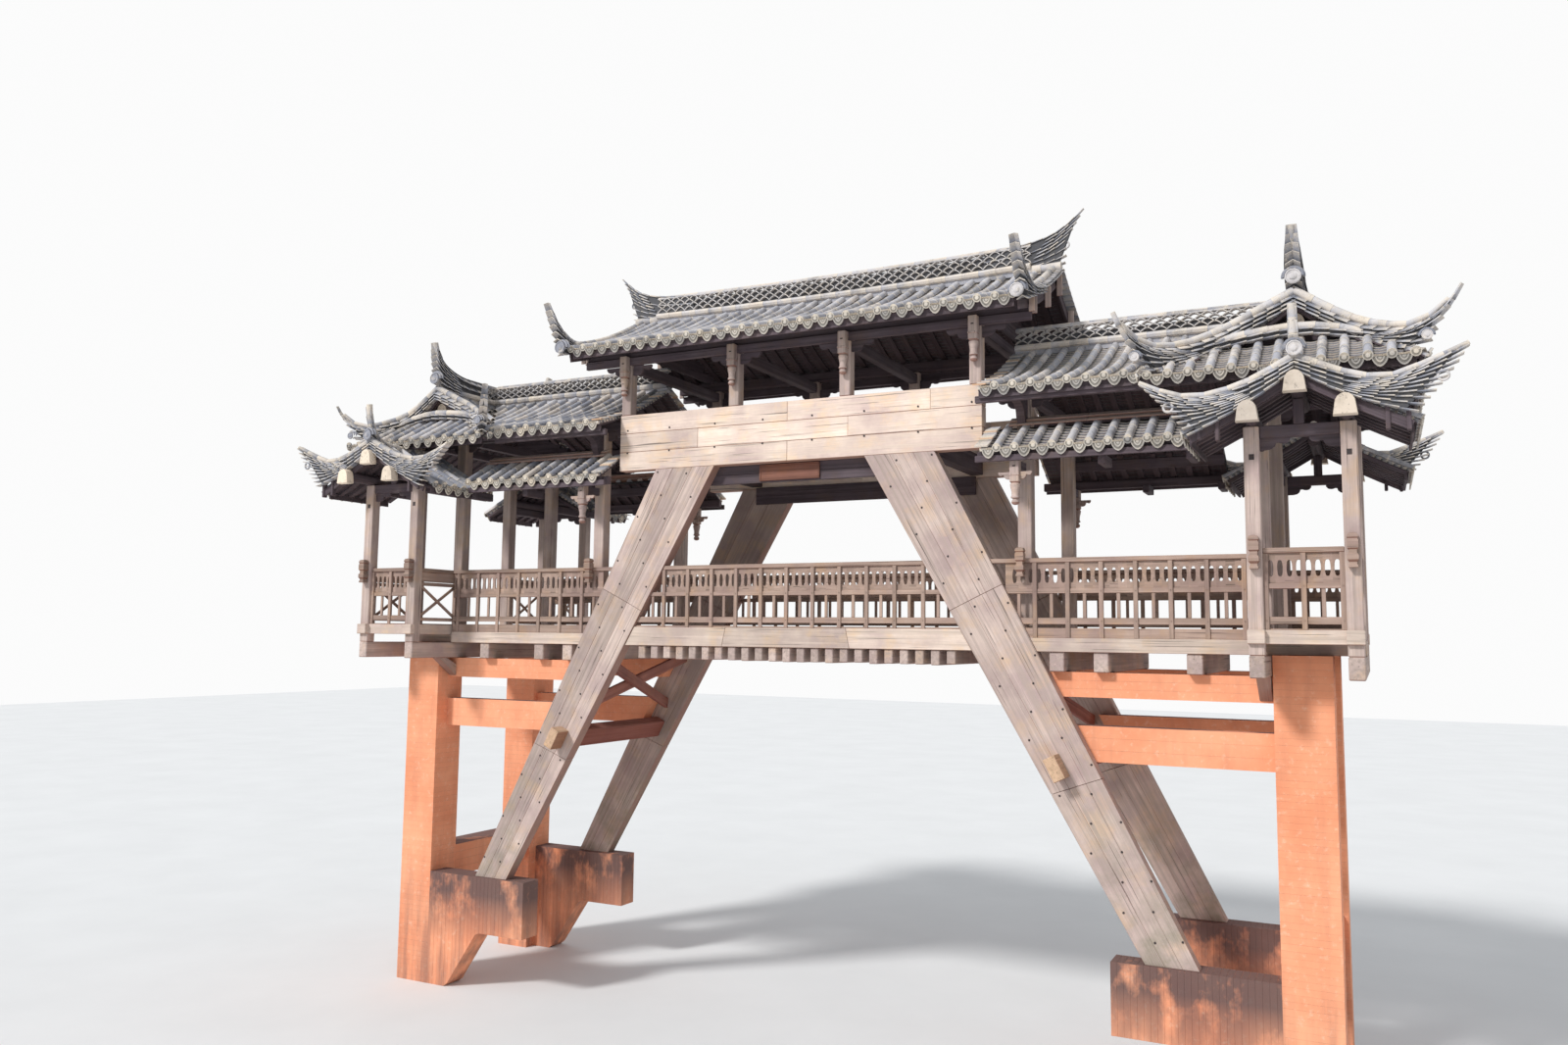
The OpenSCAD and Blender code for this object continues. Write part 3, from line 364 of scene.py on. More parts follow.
def ears(outline):
    """Triangles of a simple outline, by cutting off one ear after another."""
    left = list(range(len(outline)))
    turn = np.roll(outline, -1, axis=0)
    sign = np.sign((outline[:, 0] * turn[:, 1] - turn[:, 0] * outline[:, 1]).sum())
    found = []

    def cross(a, b, c):
        return ((b[0] - a[0]) * (c[1] - a[1]) - (b[1] - a[1]) * (c[0] - a[0])) * sign

    while len(left) > 3:
        for i in range(len(left)):
            a, b, c = left[i - 1], left[i], left[(i + 1) % len(left)]
            p, q, r = outline[a], outline[b], outline[c]
            if cross(p, q, r) <= 1e-12:
                continue
            if any(cross(p, q, outline[o]) > 0 and cross(q, r, outline[o]) > 0
                   and cross(r, p, outline[o]) > 0 for o in left if o not in (a, b, c)):
                continue
            found.append((a, b, c))
            del left[i]
            break
        else:
            break
    found.append(tuple(left[:3]))
    return found


def through(points, steps=8):
    """A smooth curve through the points: between two of them a cubic in the
    share of the way, whose slope at each is half the step from the point before
    it to the point after it."""
    p = np.asarray(points, float)
    p = np.concatenate([[2 * p[0] - p[1]], p, [2 * p[-1] - p[-2]]])
    t = (np.arange(steps) / steps)[None, :, None]
    a, b, c, d = (p[i:len(p) - 3 + i, None] for i in range(4))
    curve = 0.5 * (2 * b + (c - a) * t + (2 * a - 5 * b + 4 * c - d) * t ** 2
                   + (3 * b - a - 3 * c + d) * t ** 3)
    return np.concatenate([curve.reshape(-1, p.shape[1]), p[-2:-1]])


def runs(line):
    """Distance along a line of points from its start to each of them."""
    return np.concatenate([[0], np.cumsum(np.linalg.norm(np.diff(line, axis=0), axis=1))])


def along(line, share):
    """Points at shares of a line's length, straight between its own points."""
    run = runs(line)
    return np.stack([np.interp(np.asarray(share) * run[-1], run, part) for part in np.transpose(line)], -1)


# Finishes


def shade(paint, *factors):
    """A colour times one factor, or times one for each channel."""
    return tuple(c * factor for c, factor in zip(paint, factors * 3))


class Nodes:
    """A node tree, and short calls that add to it."""

    def __init__(self, tree):
        self.tree = tree

    def node(self, kind, inputs=(), **settings):
        node = self.tree.nodes.new("ShaderNode" + kind)
        for key, value in settings.items():
            setattr(node, key, value)
        for key, value in dict(inputs).items():
            if isinstance(value, bpy.types.NodeSocket):
                self.tree.links.new(value, node.inputs[key])
            else:
                node.inputs[key].default_value = value
        return node

    def sums(self, how, a, b):
        return self.node("Math", {0: a, 1: b}, operation=how).outputs[0]


class Finish(Nodes):
    """A material whose patterns lie on the object's own coordinates."""

    def __init__(self, name, rough):
        self.material = bpy.data.materials.new(name)
        self.material.use_nodes = True
        super().__init__(self.material.node_tree)
        self.shader = self.tree.nodes["Principled BSDF"]
        self.shader.inputs["Roughness"].default_value = rough
        self.place = self.node("TexCoord").outputs["Object"]

    def fact(self, name, part="Fac"):
        """What a piece's mesh says about each of its points."""
        return self.node("Attribute", attribute_name=name).outputs[part]

    def upward(self, vector=None):
        """The z part of a vector, or of the direction that a face looks in."""
        vector = vector or self.node("NewGeometry").outputs["Normal"]
        return self.node("SeparateXYZ", {0: vector}).outputs[2]

    def noise(self, where, stretch=(1, 1, 1), scale=1.0, detail=5.0, rough=0.6):
        """Noise from 0 to 1 on coordinates that are stretched first."""
        spot = self.node("Mapping", {"Vector": where, "Scale": stretch}).outputs[0]
        return self.node("TexNoise", {"Vector": spot, "Scale": scale, "Detail": detail,
                                      "Roughness": rough}).outputs["Fac"]

    def ramp(self, value, low, high, start=0.0, end=1.0):
        """Start where the value is low, end where it is high, even between."""
        return self.node("MapRange", {"Value": value, "From Min": low, "From Max": high,
                                      "To Min": start, "To Max": end}).outputs[0]

    def times(self, a, b):
        return self.sums("MULTIPLY", a, b)

    def mix(self, share, a, b, how="MIX"):
        """Two colours mixed by a share. A colour may be three numbers."""
        a, b = (c if isinstance(c, bpy.types.NodeSocket) else (*c, 1.0) for c in (a, b))
        return self.node("Mix", {0: share, 6: a, 7: b}, data_type="RGBA", blend_type=how).outputs[2]

    def coat(self, base, paint, value, low, high, most=1.0):
        """Paint over a base: none of it where the value is low, the most of it
        where the value is high."""
        return self.mix(self.ramp(value, low, high, 0.0, most), base, paint)

    def toned(self, base, low, high):
        """A colour times the tone of each timber, tile or band."""
        tone = self.ramp(self.fact("tone"), 0.0, 1.0, low, high)
        grey = self.node("CombineColor", {0: tone, 1: tone, 2: tone}).outputs[0]
        return self.mix(1.0, base, grey, "MULTIPLY")

    def finish(self, paint, height=None, strength=0.5, distance=0.01, rough=None):
        """Joins a colour, a relief and a roughness to the shader."""
        if height is not None:
            height = self.node("Bump", {"Height": height, "Strength": strength, "Distance": distance}).outputs[0]
        for name, value in (("Base Color", paint), ("Normal", height), ("Roughness", rough)):
            if value is not None:
                self.tree.links.new(value, self.shader.inputs[name])
        return self.material


def wood(name, paint, low=0.68, moss=0.0, rust=0.7):
    """Weathered timber: soft streaks along the grain, fine fibres, a few dark
    checks, golden and grey blotches and a tone for each member. Faces that look
    down get a darker red brown, partly the colour of sheltered wood and partly
    painted shade, as much as rust says, and green growth shows near the water."""
    m = Finish(name, 0.85)
    grain = m.fact("grain", "Vector")
    streak = m.noise(grain, (0.45, 20, 20), detail=6)
    fibre = m.noise(grain, (3, 160, 160), detail=4)
    check = m.noise(grain, (0.7, 60, 60), detail=3, rough=0.45)
    crack = m.ramp(check, 0.3, 0.34, 1.0, 0.0)
    base = m.coat(shade(paint, 1.06), shade(paint, 0.72, 0.67, 0.73), m.noise(m.place, scale=1.5), 0.36, 0.64)
    base = m.coat(base, shade(paint, 1.02, 0.89, 0.68), m.noise(m.place, scale=2.7), 0.5, 0.66, 0.7)
    base = m.coat(base, shade(paint, low), streak, 0.46, 0.64, 0.85)
    base = m.coat(base, shade(paint, 1.15), streak, 0.42, 0.32, 0.5)
    base = m.toned(base, 0.76, 1.06)
    base = m.coat(base, shade(paint, 0.5), fibre, 0.4, 0.65, 0.3)
    base = m.mix(m.times(crack, 0.8), base, shade(paint, 0.13))
    # faces that look down: red brown of sheltered wood, darkened further as painted shade
    base = m.coat(base, shade(paint, 0.42, 0.22, 0.17), m.upward(), -0.2, -0.4, rust)
    if moss:
        patch = m.ramp(m.noise(m.place, scale=2.3, detail=6), 0.45, 0.66)
        damp = m.times(m.ramp(m.upward(m.place), 4.5, 2.0, 0.0, moss), patch)
        base = m.mix(damp, base, linear(128, 124, 104))
    high = m.sums("SUBTRACT", m.sums("ADD", m.times(fibre, 0.35), streak), crack)
    return m.finish(base, high, 0.5, 0.005, m.ramp(streak, 0.3, 0.7, 0.75, 0.95))


def concrete(name, paint):
    """Painted concrete: faint stains that run down, worn patches, pores, black
    growth on level tops and, where marked, under the top edge, and damp feet."""
    m = Finish(name, 0.9)
    height = m.upward(m.place)
    run = m.noise(m.place, (5, 5, 0.5), detail=6)
    patch = m.noise(m.place, scale=1.1, detail=6)
    pore = m.noise(m.place, scale=70, detail=3)
    grain = m.noise(m.fact("grain", "Vector"), (1.2, 14, 14), detail=3)
    base = m.coat(paint, shade(paint, 0.88, 0.74, 0.68), patch, 0.35, 0.65)
    base = m.coat(base, linear(206, 136, 106), run, 0.5, 0.7, 0.35)
    base = m.coat(base, linear(252, 208, 180), m.noise(m.place, scale=13, detail=6, rough=0.7), 0.56, 0.7, 0.45)
    base = m.toned(base, 0.965, 1.01)
    level = m.times(m.ramp(m.upward(), 0.35, 0.8), m.ramp(patch, 0.25, 0.4))
    cloud = m.ramp(m.noise(m.place, (2.6, 2.6, 1.6), detail=8), 0.3, 0.5)
    edge = m.times(m.fact("mark"), m.times(m.ramp(height, 0.75, 1.6), cloud))
    growth = m.times(m.sums("MAXIMUM", level, edge), 0.88)
    base = m.mix(growth, base, linear(72, 66, 70))
    foot = m.times(m.ramp(height, 2.2, 0.2, 0.0, 0.6), m.ramp(run, 0.35, 0.6))
    base = m.mix(foot, base, linear(112, 88, 82))
    high = m.sums("ADD", m.times(pore, 0.4), m.sums("ADD", m.times(grain, 0.35), patch))
    return m.finish(base, high, 0.35, 0.006)


def fired(name, paint, pale, dark=0.36, lichen=0.5):
    """Fired clay: a tone for each tile, cream and ochre growth in spots, dark
    weather stains, and what is marked: pale mortar from 0 to 1, warm clay from
    1.2 up and deep shadow below 0."""
    m = Finish(name, 0.85)
    tone, mark = m.fact("tone"), m.fact("mark")
    spot = m.noise(m.place, scale=8, detail=6, rough=0.7)
    stain = m.noise(m.place, scale=1.9, detail=6, rough=0.65)
    dust = m.noise(m.place, scale=23, detail=4, rough=0.7)
    fine = m.noise(m.place, scale=60, detail=3)
    base = m.coat(shade(paint, 0.5, 0.53, 0.6), shade(paint, 1.15), tone, 0.1, 0.9)
    base = m.coat(base, linear(222, 202, 176), tone, 0.86, 0.98, 0.5)
    base = m.coat(base, shade(paint, dark), stain, 0.5, 0.66, 0.7)
    base = m.coat(base, pale, spot, 0.52, 0.64, lichen)
    base = m.coat(base, linear(206, 172, 130), dust, 0.6, 0.7, 0.25)
    base = m.coat(base, shade(paint, 0.2), dust, 0.42, 0.32, 0.6)
    base = m.mix(m.times(m.ramp(mark, 0.0, 1.0), m.ramp(fine, 0.35, 0.55, 0.3, 1.0)), base, pale)
    base = m.coat(base, linear(222, 168, 120), mark, 1.2, 1.9, 0.7)
    base = m.coat(base, shade(paint, 0.1), mark, -0.1, -0.8, 0.88)
    return m.finish(base, m.sums("ADD", fine, m.times(spot, 2.0)), 0.35, 0.004, m.ramp(spot, 0.3, 0.7, 0.75, 0.95))


def iron(name, paint):
    """Rusty iron, pitted, with warm rust where the noise is high."""
    m = Finish(name, 0.6)
    pit = m.noise(m.place, scale=90, detail=4)
    return m.finish(m.coat(paint, linear(92, 58, 44), pit, 0.5, 0.7), pit, 0.4, 0.002)


DRIP_CLAY = (0.62, 0.56, 0.48)
# The frame's material slot of each finish, and how the finish is made
FINISHES = {
    "timber": ("weathered_timber", lambda c: wood("weathered timber", c.timber, moss=0.6)),
    "rail": ("weathered_timber", lambda c: wood("railing timber", c.railing)),
    "pale": ("pale_timber", lambda c: wood("bleached timber", c.pale_timber, 0.88)),
    "edge": ("pale_timber", lambda c: wood("edge timber", shade(c.pale_timber, 0.8), 0.75)),
    # timber under the roofs, darker and bluer as painted shade
    "dark": ("dark_timber", lambda c: wood("sheltered timber with painted shade", c.dark_timber, 0.55, rust=0.3)),
    "red": ("dark_timber", lambda c: wood("red timber", c.red_timber, 0.6)),
    "tenon": ("pale_timber", lambda c: wood("cut timber", c.cut_timber, 0.7)),
    "plaque": ("dark_timber", lambda c: wood("plaque timber", c.plaque, 0.6)),
    "concrete": ("concrete", lambda c: concrete("painted concrete", c.concrete)),
    "tile": ("roof_tile", lambda c: fired("grey tile", c.tile, c.mortar)),
    "drip": ("roof_tile", lambda c: fired("pale drip tile", DRIP_CLAY, c.mortar, 0.4, 0.4)),
    "cap": ("cap_clay", lambda c: fired("clay cap", c.cap, c.mortar, 0.5, 0.25)),
    # bolt iron, also the dark boxes of painted shade in holes and notches
    "iron": ("weathered_timber", lambda c: iron("bolt iron and hole shade", c.bolt)),
}
# The materials made so far, by the key of their finish
MADE = {}


def place(name, shape, key, node=None, smooth=None):
    """Makes a piece of a shape: its mesh, its finish and its body, and hides
    the frame's node that it stands for. Edges flatter than the smooth angle
    are rounded off in the shading."""
    points, quads, tris, *facts = shape.arrays()
    mesh = bpy.data.meshes.new(name)
    mesh.vertices.add(len(points))
    mesh.vertices.foreach_set("co", points.astype(np.float32).ravel())
    mesh.loops.add(4 * len(quads) + 3 * len(tris))
    mesh.loops.foreach_set("vertex_index", np.concatenate([quads.ravel(), tris.ravel()]).astype(np.int32))
    mesh.polygons.add(len(quads) + len(tris))
    mesh.polygons.foreach_set("loop_start", np.concatenate(
        [4 * np.arange(len(quads)), 4 * len(quads) + 3 * np.arange(len(tris))]).astype(np.int32))
    mesh.update(calc_edges=True)
    kinds = (("grain", "FLOAT_VECTOR", "vector"), ("tone", "FLOAT", "value"), ("mark", "FLOAT", "value"))
    for (fact, kind, part), values in zip(kinds, facts):
        layer = mesh.attributes.new(fact, kind, "POINT")
        layer.data.foreach_set(part, np.asarray(values, np.float32).ravel())
    mesh.polygons.foreach_set("use_smooth", np.full(len(mesh.polygons), bool(smooth)))
    if smooth:
        mesh.set_sharp_from_angle(angle=math.radians(smooth))
    mesh.validate()
    piece = bpy.data.objects.new(name, mesh)
    bpy.context.scene.collection.objects.link(piece)
    slot, maker = FINISHES[key]
    if key not in MADE:
        MADE[key] = maker(colours())
    mesh.materials.append(MADE[key])
    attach(piece, "root")
    if node:
        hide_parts(node)


def places(name, shape, key, node=None, smooth=None):
    """A piece for each {side}, and each {row} if the name has one, mirrored
    from the shape, which is the front one on the right."""
    for side, x in SIDES.items() if "{side}" in name else [("", 1)]:
        for face, y in ROWS.items() if "{row}" in name else [("", 1)]:
            place(name.format(side=side, row=face), shape.mirrored(x, y), key,
                  node and node.format(side=side, row=face), smooth)


# Places taken from the frame


def low_high(node):
    """The lowest and the highest corner of a node's box."""
    return [np.array(corner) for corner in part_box(node)]


BEAM_LOW, BEAM_HIGH = low_high("top_beam_front")
LEG_LOW, LEG_HIGH = low_high("leg_front_right")
PIER_LOW, PIER_HIGH = low_high("pier_front_right")
# Distances of a leg's inner and outer edge from the middle, at both ends
LEG_HEAD, LEG_FOOT = np.array([1.30, 2.41]), np.array([5.26, 5.93])
LEG_RATE = (LEG_HEAD - LEG_FOOT) / (LEG_HIGH[2] - LEG_LOW[2])
# Front and back faces of the timbers on the front side
LEG_Y, EDGE_Y, POST_Y, PORCH_POST_Y = (-1.58, -1.38), (-1.56, -1.44), (-1.37, -1.17), (-2.5, -2.32)
PORCH_EDGE_Y, RAIL_Y, PORCH_Y = (-2.47, -2.34), 1.515, 2.41
# Middles of the posts: beside the leg, in the porch, and above the top beam
SIDE_X, PORCH_X, UPPER_X = 3.68, (6.79, 7.86), (0.97, 3.03)
SILL, FLOOR = 6.08, 6.2


def leg_edge(z, share):
    """Distance from the middle to a point of a leg, a share of the way from
    its inner to its outer edge, at height z. Each edge runs from its foot by
    its rate times the height above it."""
    inner, outer = (foot + rate * (z - LEG_LOW[2]) for foot, rate in zip(LEG_FOOT, LEG_RATE))
    return inner + share * (outer - inner)


# Piers

COLUMN_X, COLUMN_DEEP = PIER_HIGH[0] - 0.69, 0.61
CORBEL_TOP, CORBEL_LOW, CORBEL_DEEP = 1.9, 0.97, 0.4
# The haunch under the corbel, where it meets the corbel and where the ground
HAUNCH_HEAD, HAUNCH_FOOT = COLUMN_X - 1.08, COLUMN_X - 0.43
# Gap between two bands of concrete
HAIR = 0.0001


def pier_shape():
    """Bands of concrete as wide as the form boards: level ones on the column,
    upright ones on the corbel, whose underside drops along the haunch."""
    shape = Shape(11)
    board, front = sizes().form_board, PIER_LOW[1]
    z = np.linspace(0, PIER_HIGH[2], round(PIER_HIGH[2] / board) + 1)
    proud = shape.rng.uniform(0, 0.001, (len(z) - 1, 4))
    boxes(shape, spots(COLUMN_X + proud[:, 0], front + proud[:, 1], z[:-1] + HAIR),
          spots(PIER_HIGH[0] - proud[:, 2], front + COLUMN_DEEP - proud[:, 3], z[1:]), 0, 0.0008)
    ends = PIER_LOW[0], COLUMN_X + 0.03
    x = np.linspace(*ends, round((ends[1] - ends[0]) / board) + 1)
    under = np.interp(x, [HAUNCH_HEAD, HAUNCH_FOOT], [CORBEL_LOW, 0.0])
    proud = shape.rng.uniform(0, 0.002, (len(x) - 1, 2))
    # i runs up the board, j along the bridge, k across it
    hexes(shape, cornered(lambda i, j, k: (
        x[1:] - HAIR if j else x[:-1] + HAIR,
        front + CORBEL_DEEP - proud[:, 1] if k else front + proud[:, 0],
        CORBEL_TOP if i else under[1:] if j else under[:-1])), 0.003, mark=1.0)
    return shape


def pier_beam_shape():
    """Beams from the columns to the legs in three level bands each, and the
    tie between the feet of the columns in four."""
    shape = Shape(12)
    for z0, z1 in ((4.42, 4.9), (5.28, low_high("pier_beams_right")[1][2])):
        z = np.linspace(z0, z1, 4)
        low, high = z[:-1] + 2 * HAIR, z[1:]
        proud = shape.rng.uniform(0, 0.001, 3)
        hexes(shape, cornered(lambda i, j, k: (
            COLUMN_X if i else leg_edge(high if k else low, 1.0) - 0.25,
            -1.13 - proud if j else -1.38 + proud, high if k else low)), 0.001)
    shape.both(y=True)
    z = np.linspace(1.7, 2.25, 5)
    boxes(shape, spots(COLUMN_X + 0.06, -1.03, z[:-1] + 2 * HAIR), spots(COLUMN_X + 0.63, 1.03, z[1:]), 1, 0.0015)
    return shape


class BRIDGE_OT_piers(bpy.types.Operator):
    """Four board-marked concrete piers and their beams"""
    bl_idname = "bridge.piers"
    bl_label = "Piers"

    def execute(self, context):
        places("pier_{row}_{side}_concrete", pier_shape(), "concrete", "pier_{row}_{side}")
        places("concrete_beams_{side}", pier_beam_shape(), "concrete", "pier_beams_{side}")
        return {"FINISHED"}


# Legs and top beams

BOLT_ROWS = (9.45, 9.07)
BOLT_X = np.array([0.43, 1.3, 2.16, 2.98])
TO_FRONT = np.array([(1, 0, 0), (0, 0, 1), (0, -1, 0)])


def leg_shape():
    """Three planks side by side, each cut by two joints that lie square to the
    leg: corner z comes from the joint's heights at the inner and outer edge."""
    shape = Shape(21)
    across = (0, 0.37, 0.7, 1.0)
    joints = [(LEG_LOW[2], LEG_LOW[2]), (3.97, 4.22), (6.45, 6.82), (LEG_HIGH[2], LEG_HIGH[2])]
    gap, joint = sizes().plank_gap / 10, 0.002
    corners, tones = [], []
    for a, b in zip(joints[:-1], joints[1:]):
        for s0, s1 in zip(across[:-1], across[1:]):
            proud = shape.rng.uniform(0, 0.001)
            tones.append(0.66 + 0.22 * (0 < s0 < 0.5) + shape.rng.uniform(-0.1, 0.1))

            # i runs up the leg, j outwards and k backwards
            def corner(i, j, k):
                share = s1 if j else s0
                inner, outer = b if i else a
                z = inner + (outer - inner) * share
                z += (-joint if i else joint) if 2.0 < z < 8.7 else 0.0
                return leg_edge(z, share) + (-gap if j else gap), LEG_Y[1] if k else LEG_Y[0] + proud, z

            corners.append(cornered(corner))
    # the order of j is turned, so that the corners stand right-handed
    hexes(shape, np.array(corners)[:, np.arange(8) ^ 2], 0.004, tones)
    return shape


def leg_bolts():
    """Places of the bolts up a leg, two to a row, in two rows by turns."""
    return [(leg_edge(z, share), LEG_Y[0], z + 0.1 * share)
            for n, z in enumerate(np.arange(2.15, 8.7, 0.36)) for share in ((0.13, 0.66) if n % 2 else (0.4, 0.9))]


def top_beam_shape():
    """Three rows of thick planks with their butt joints at different places."""
    shape = Shape(22)
    z = np.linspace(BEAM_LOW[2], BEAM_HIGH[2], 4)
    gap, end = sizes().plank_gap / 2, BEAM_HIGH[0]
    for level, cuts in enumerate(((0.0,), (-1.62, 1.03), (0.0, 2.35))):
        cuts = (-end, *cuts, end)
        for a, b in zip(cuts[:-1], cuts[1:]):
            proud = shape.rng.uniform(0, 0.005)
            boxes(shape, (a + gap * (a > -end), BEAM_LOW[1] + proud, z[level] + gap),
                  (b - gap * (b < end), BEAM_HIGH[1], z[level + 1] - gap))
    return shape


class BRIDGE_OT_legs(bpy.types.Operator):
    """Raking legs, top beams, cross beams, braces and their bolts"""
    bl_idname = "bridge.legs"
    bl_label = "Legs and top beams"

    def execute(self, context):
        places("leg_{row}_{side}_planks", leg_shape(), "timber", "leg_{row}_{side}")
        places("top_beam_{row}_planks", top_beam_shape(), "pale", "top_beam_{row}")
        r = sizes().bolt_radius
        head = lathe([(r, -0.004), (r, 0.003), (r * 0.8, 0.008), (r * 0.3, 0.009)], 8)
        bolts = Shape(23)
        stamp(bolts, head, leg_bolts(), TO_FRONT)
        bolts.both(x=True)
        stamp(bolts, head, [(x, BEAM_LOW[1], z) for x in (*-BOLT_X[::-1], *BOLT_X) for z in BOLT_ROWS], TO_FRONT)
        place("bolt_heads", bolts.both(y=True), "iron", smooth=40)
        for side, x in SIDES.items():
            self.across(side, x)
        cross = Shape(26)
        low, high = low_high("top_crossbeams")
        boxes(cross, (high[0] - 0.22, low[1], low[2]), high, 1, 0.01)
        place("top_crossbeams_timber", cross.both(x=True), "dark", "top_crossbeams")
        boards = Shape(27)
        for z0, z1 in ((8.48, 8.63), (8.633, 8.79)):
            boxes(boards, (-2.1, -1.375, z0), (2.1, -1.32, z1), 0, 0.004)
        place("name_boards_timber", boards.both(y=True), "dark", "name_boards")
        plaque = Shape(29)
        boxes(plaque, (-0.55, -1.4, 8.52), (0.46, -1.372, 8.74), 0, 0.003, 0.3)
        for x0, z0, x1, z1 in ((-0.57, 8.5, 0.48, 8.53), (-0.57, 8.73, 0.48, 8.76),
                               (-0.57, 8.53, -0.54, 8.73), (0.45, 8.53, 0.48, 8.73)):
            boxes(plaque, (x0, -1.41, z0), (x1, -1.38, z1), 0, 0.005, 0.0)
        place("name_plaques_bare", plaque.both(y=True), "plaque")
        return {"FINISHED"}

    def across(self, side, x):
        """The leaning cross beam, its tenons and the crossed braces of a side."""
        low, high = low_high(f"leg_crossbeam_{side}")
        x_mid, _, z_mid = (low + high) / 2
        lean = math.atan(-LEG_RATE[1])
        up = (-x * math.sin(lean), 0, math.cos(lean))
        beam, tenon, brace = Shape(24), Shape(28), Shape(25)
        beams(beam, (x_mid, -1.37, z_mid), (x_mid, 1.37, z_mid), 0.2, 0.32, up, 0.012)
        place(f"leg_crossbeam_{side}_timber", beam, "red", f"leg_crossbeam_{side}")
        beams(tenon, (x_mid, -1.86, z_mid), (x_mid, -1.4, z_mid), 0.17, 0.33, up, 0.006, 0.9)
        place(f"leg_tenons_{side}", tenon.both(y=True), "tenon")
        foot, head = 4.78, 5.66
        for shift, y in ((0.05, 1.375), (-0.03, -1.375)):
            beams(brace, (leg_edge(foot, 0.5) + shift, -y, foot), (leg_edge(head, 0.5) + shift, y, head), 0.07, 0.18)
        place(f"leg_brace_{side}_timber", brace.mirrored(x=x), "red", f"leg_brace_{side}")


# Deck


class BRIDGE_OT_deck(bpy.types.Operator):
    """Edge beams, joists, stringers, floor boards and porch knees"""
    bl_idname = "bridge.deck"
    bl_label = "Deck"

    def execute(self, context):
        place("edge_beams_centre_timber", self.centre_edges(), "edge", "edge_beams_centre")
        places("edge_beams_{side}_timber", self.side_edges(), "edge", "edge_beams_{side}")
        place("deck_joists_timber", self.joists(), "timber", "deck_joists")
        low, high = low_high("deck_stringers")
        strings = Shape(34)
        for y in (-1.0, -0.35, 0.35, 1.0):
            boxes(strings, (low[0], y - 0.06, low[2]), (high[0], y + 0.06, high[2]))
        place("deck_stringers_timber", strings, "timber", "deck_stringers")
        place("deck_floor_boards", self.floor(), "timber", "deck_floor")
        knees = Shape(37)
        low, high = low_high("porch_knees")
        # i runs up the knee, j backwards along the bridge, k inwards
        hexes(knees, cornered(lambda i, j, k: (6.71 if j else 6.87, (-1.63 if k else -1.83) if i else -1.38,
                                               high[2] if i else low[2] + 0.2 * k)), 0.008)
        place("porch_knees_timber", knees.both(x=True, y=True), "timber", "porch_knees")
        return {"FINISHED"}

    def centre_edges(self):
        """Edge beams between the legs, in three lengths, cut along the legs."""
        shape = Shape(31)
        low, high = low_high("edge_beams_centre")
        for ends in ((0, 0.31), (0.31, 0.68), (0.68, 1.0)):
            def corner(i, j, k):
                z = (low, high)[k][2]
                reach = leg_edge(z, 0.0) - 0.001
                return -reach + 2 * reach * ends[i] + (0.002, -0.002)[i], EDGE_Y[j], z
            hexes(shape, cornered(corner))
        return shape.both(y=True)

    def side_edges(self):
        """Edge beams, sills and porch sills outside the legs, on the right."""
        shape = Shape(32)
        z = low_high("edge_beams_right")[0][2], SILL
        hexes(shape, cornered(lambda i, j, k: (6.7 if i else leg_edge(z[k], 1.0) + 0.001, EDGE_Y[j], z[k])))
        porch = 6.03, FLOOR
        boxes(shape, (3.53, POST_Y[0], z[0]), (7.96, POST_Y[1], z[1]), 0, 0.008)
        boxes(shape, (6.88, PORCH_EDGE_Y[0], porch[0]), (7.77, PORCH_EDGE_Y[1], porch[1]))
        for x in PORCH_X:
            row(shape, np.array([x]), 0.1, (-2.56, -2.46), porch, 0, 0.008)
        row(shape, np.array(PORCH_X), 0.06, (PORCH_POST_Y[1], POST_Y[0]), porch, 1)
        return shape.both(y=True)

    def joists(self):
        """Joists at even steps under the middle, and wider ones at the posts."""
        shape = Shape(33)
        low, high = low_high("deck_joists")
        at = 0.24 * np.arange(-11, 12)
        drop = shape.rng.uniform(0, 0.02, len(at))
        row(shape, at, 0.065, (-1.53, 1.53), (high[2] - 0.22 + drop, high[2]), 1, 0.01)
        for side in (-1, 1):
            row(shape, side * np.array([4.15, 4.75, 5.95]), 0.1, (-1.53, 1.53), (low[2], high[2]), 1, 0.012)
            row(shape, side * np.array(PORCH_X), 0.09, (-2.5, 2.5), (low[2], high[2]), 1, 0.012)
        return shape

    def floor(self):
        """Floor boards across the bridge, and those of the four porch bays."""
        floor, near = Shape(35), Shape(36)
        low, high = low_high("deck_floor")
        gap = sizes().plank_gap / 2
        at = np.linspace(low[0], high[0], round((high[0] - low[0]) / sizes().floor_board) + 1)
        rise = floor.rng.uniform(0, 0.003, len(at) - 1)
        boxes(floor, spots(at[:-1] + gap, -1.16, low[2]), spots(at[1:] - gap, 1.16, high[2] - rise), 1, 0.004)
        at = np.linspace(6.85, 7.8, 6)
        boxes(near, spots(at[:-1] + gap, PORCH_POST_Y[1], low[2]), spots(at[1:] - gap, POST_Y[0], high[2]), 1, 0.004)
        return floor.join(near.both(x=True, y=True))


# Railings

HANDRAIL, MID_RAIL, LOW_RAIL, LEDGE = (7.115, 7.18), (6.69, 6.755), (6.265, 6.355), 6.215
SLOT_WIDE, SLOT_HIGH = 0.031, 0.1
# Half width, as a share of the newel's, and height up its turned head
NEWEL = [(0.42, 6.925), (0.42, 6.95), (0.33, 6.965), (0.33, 6.985), (0.5, 7.015), (0.5, 7.07), (0.36, 7.09),
         (0.36, 7.13), (0.5, 7.15), (0.5, 7.24), (0.42, 7.26), (0.5, 7.275), (0.5, 7.29), (0.4, 7.32), (0.1, 7.33)]


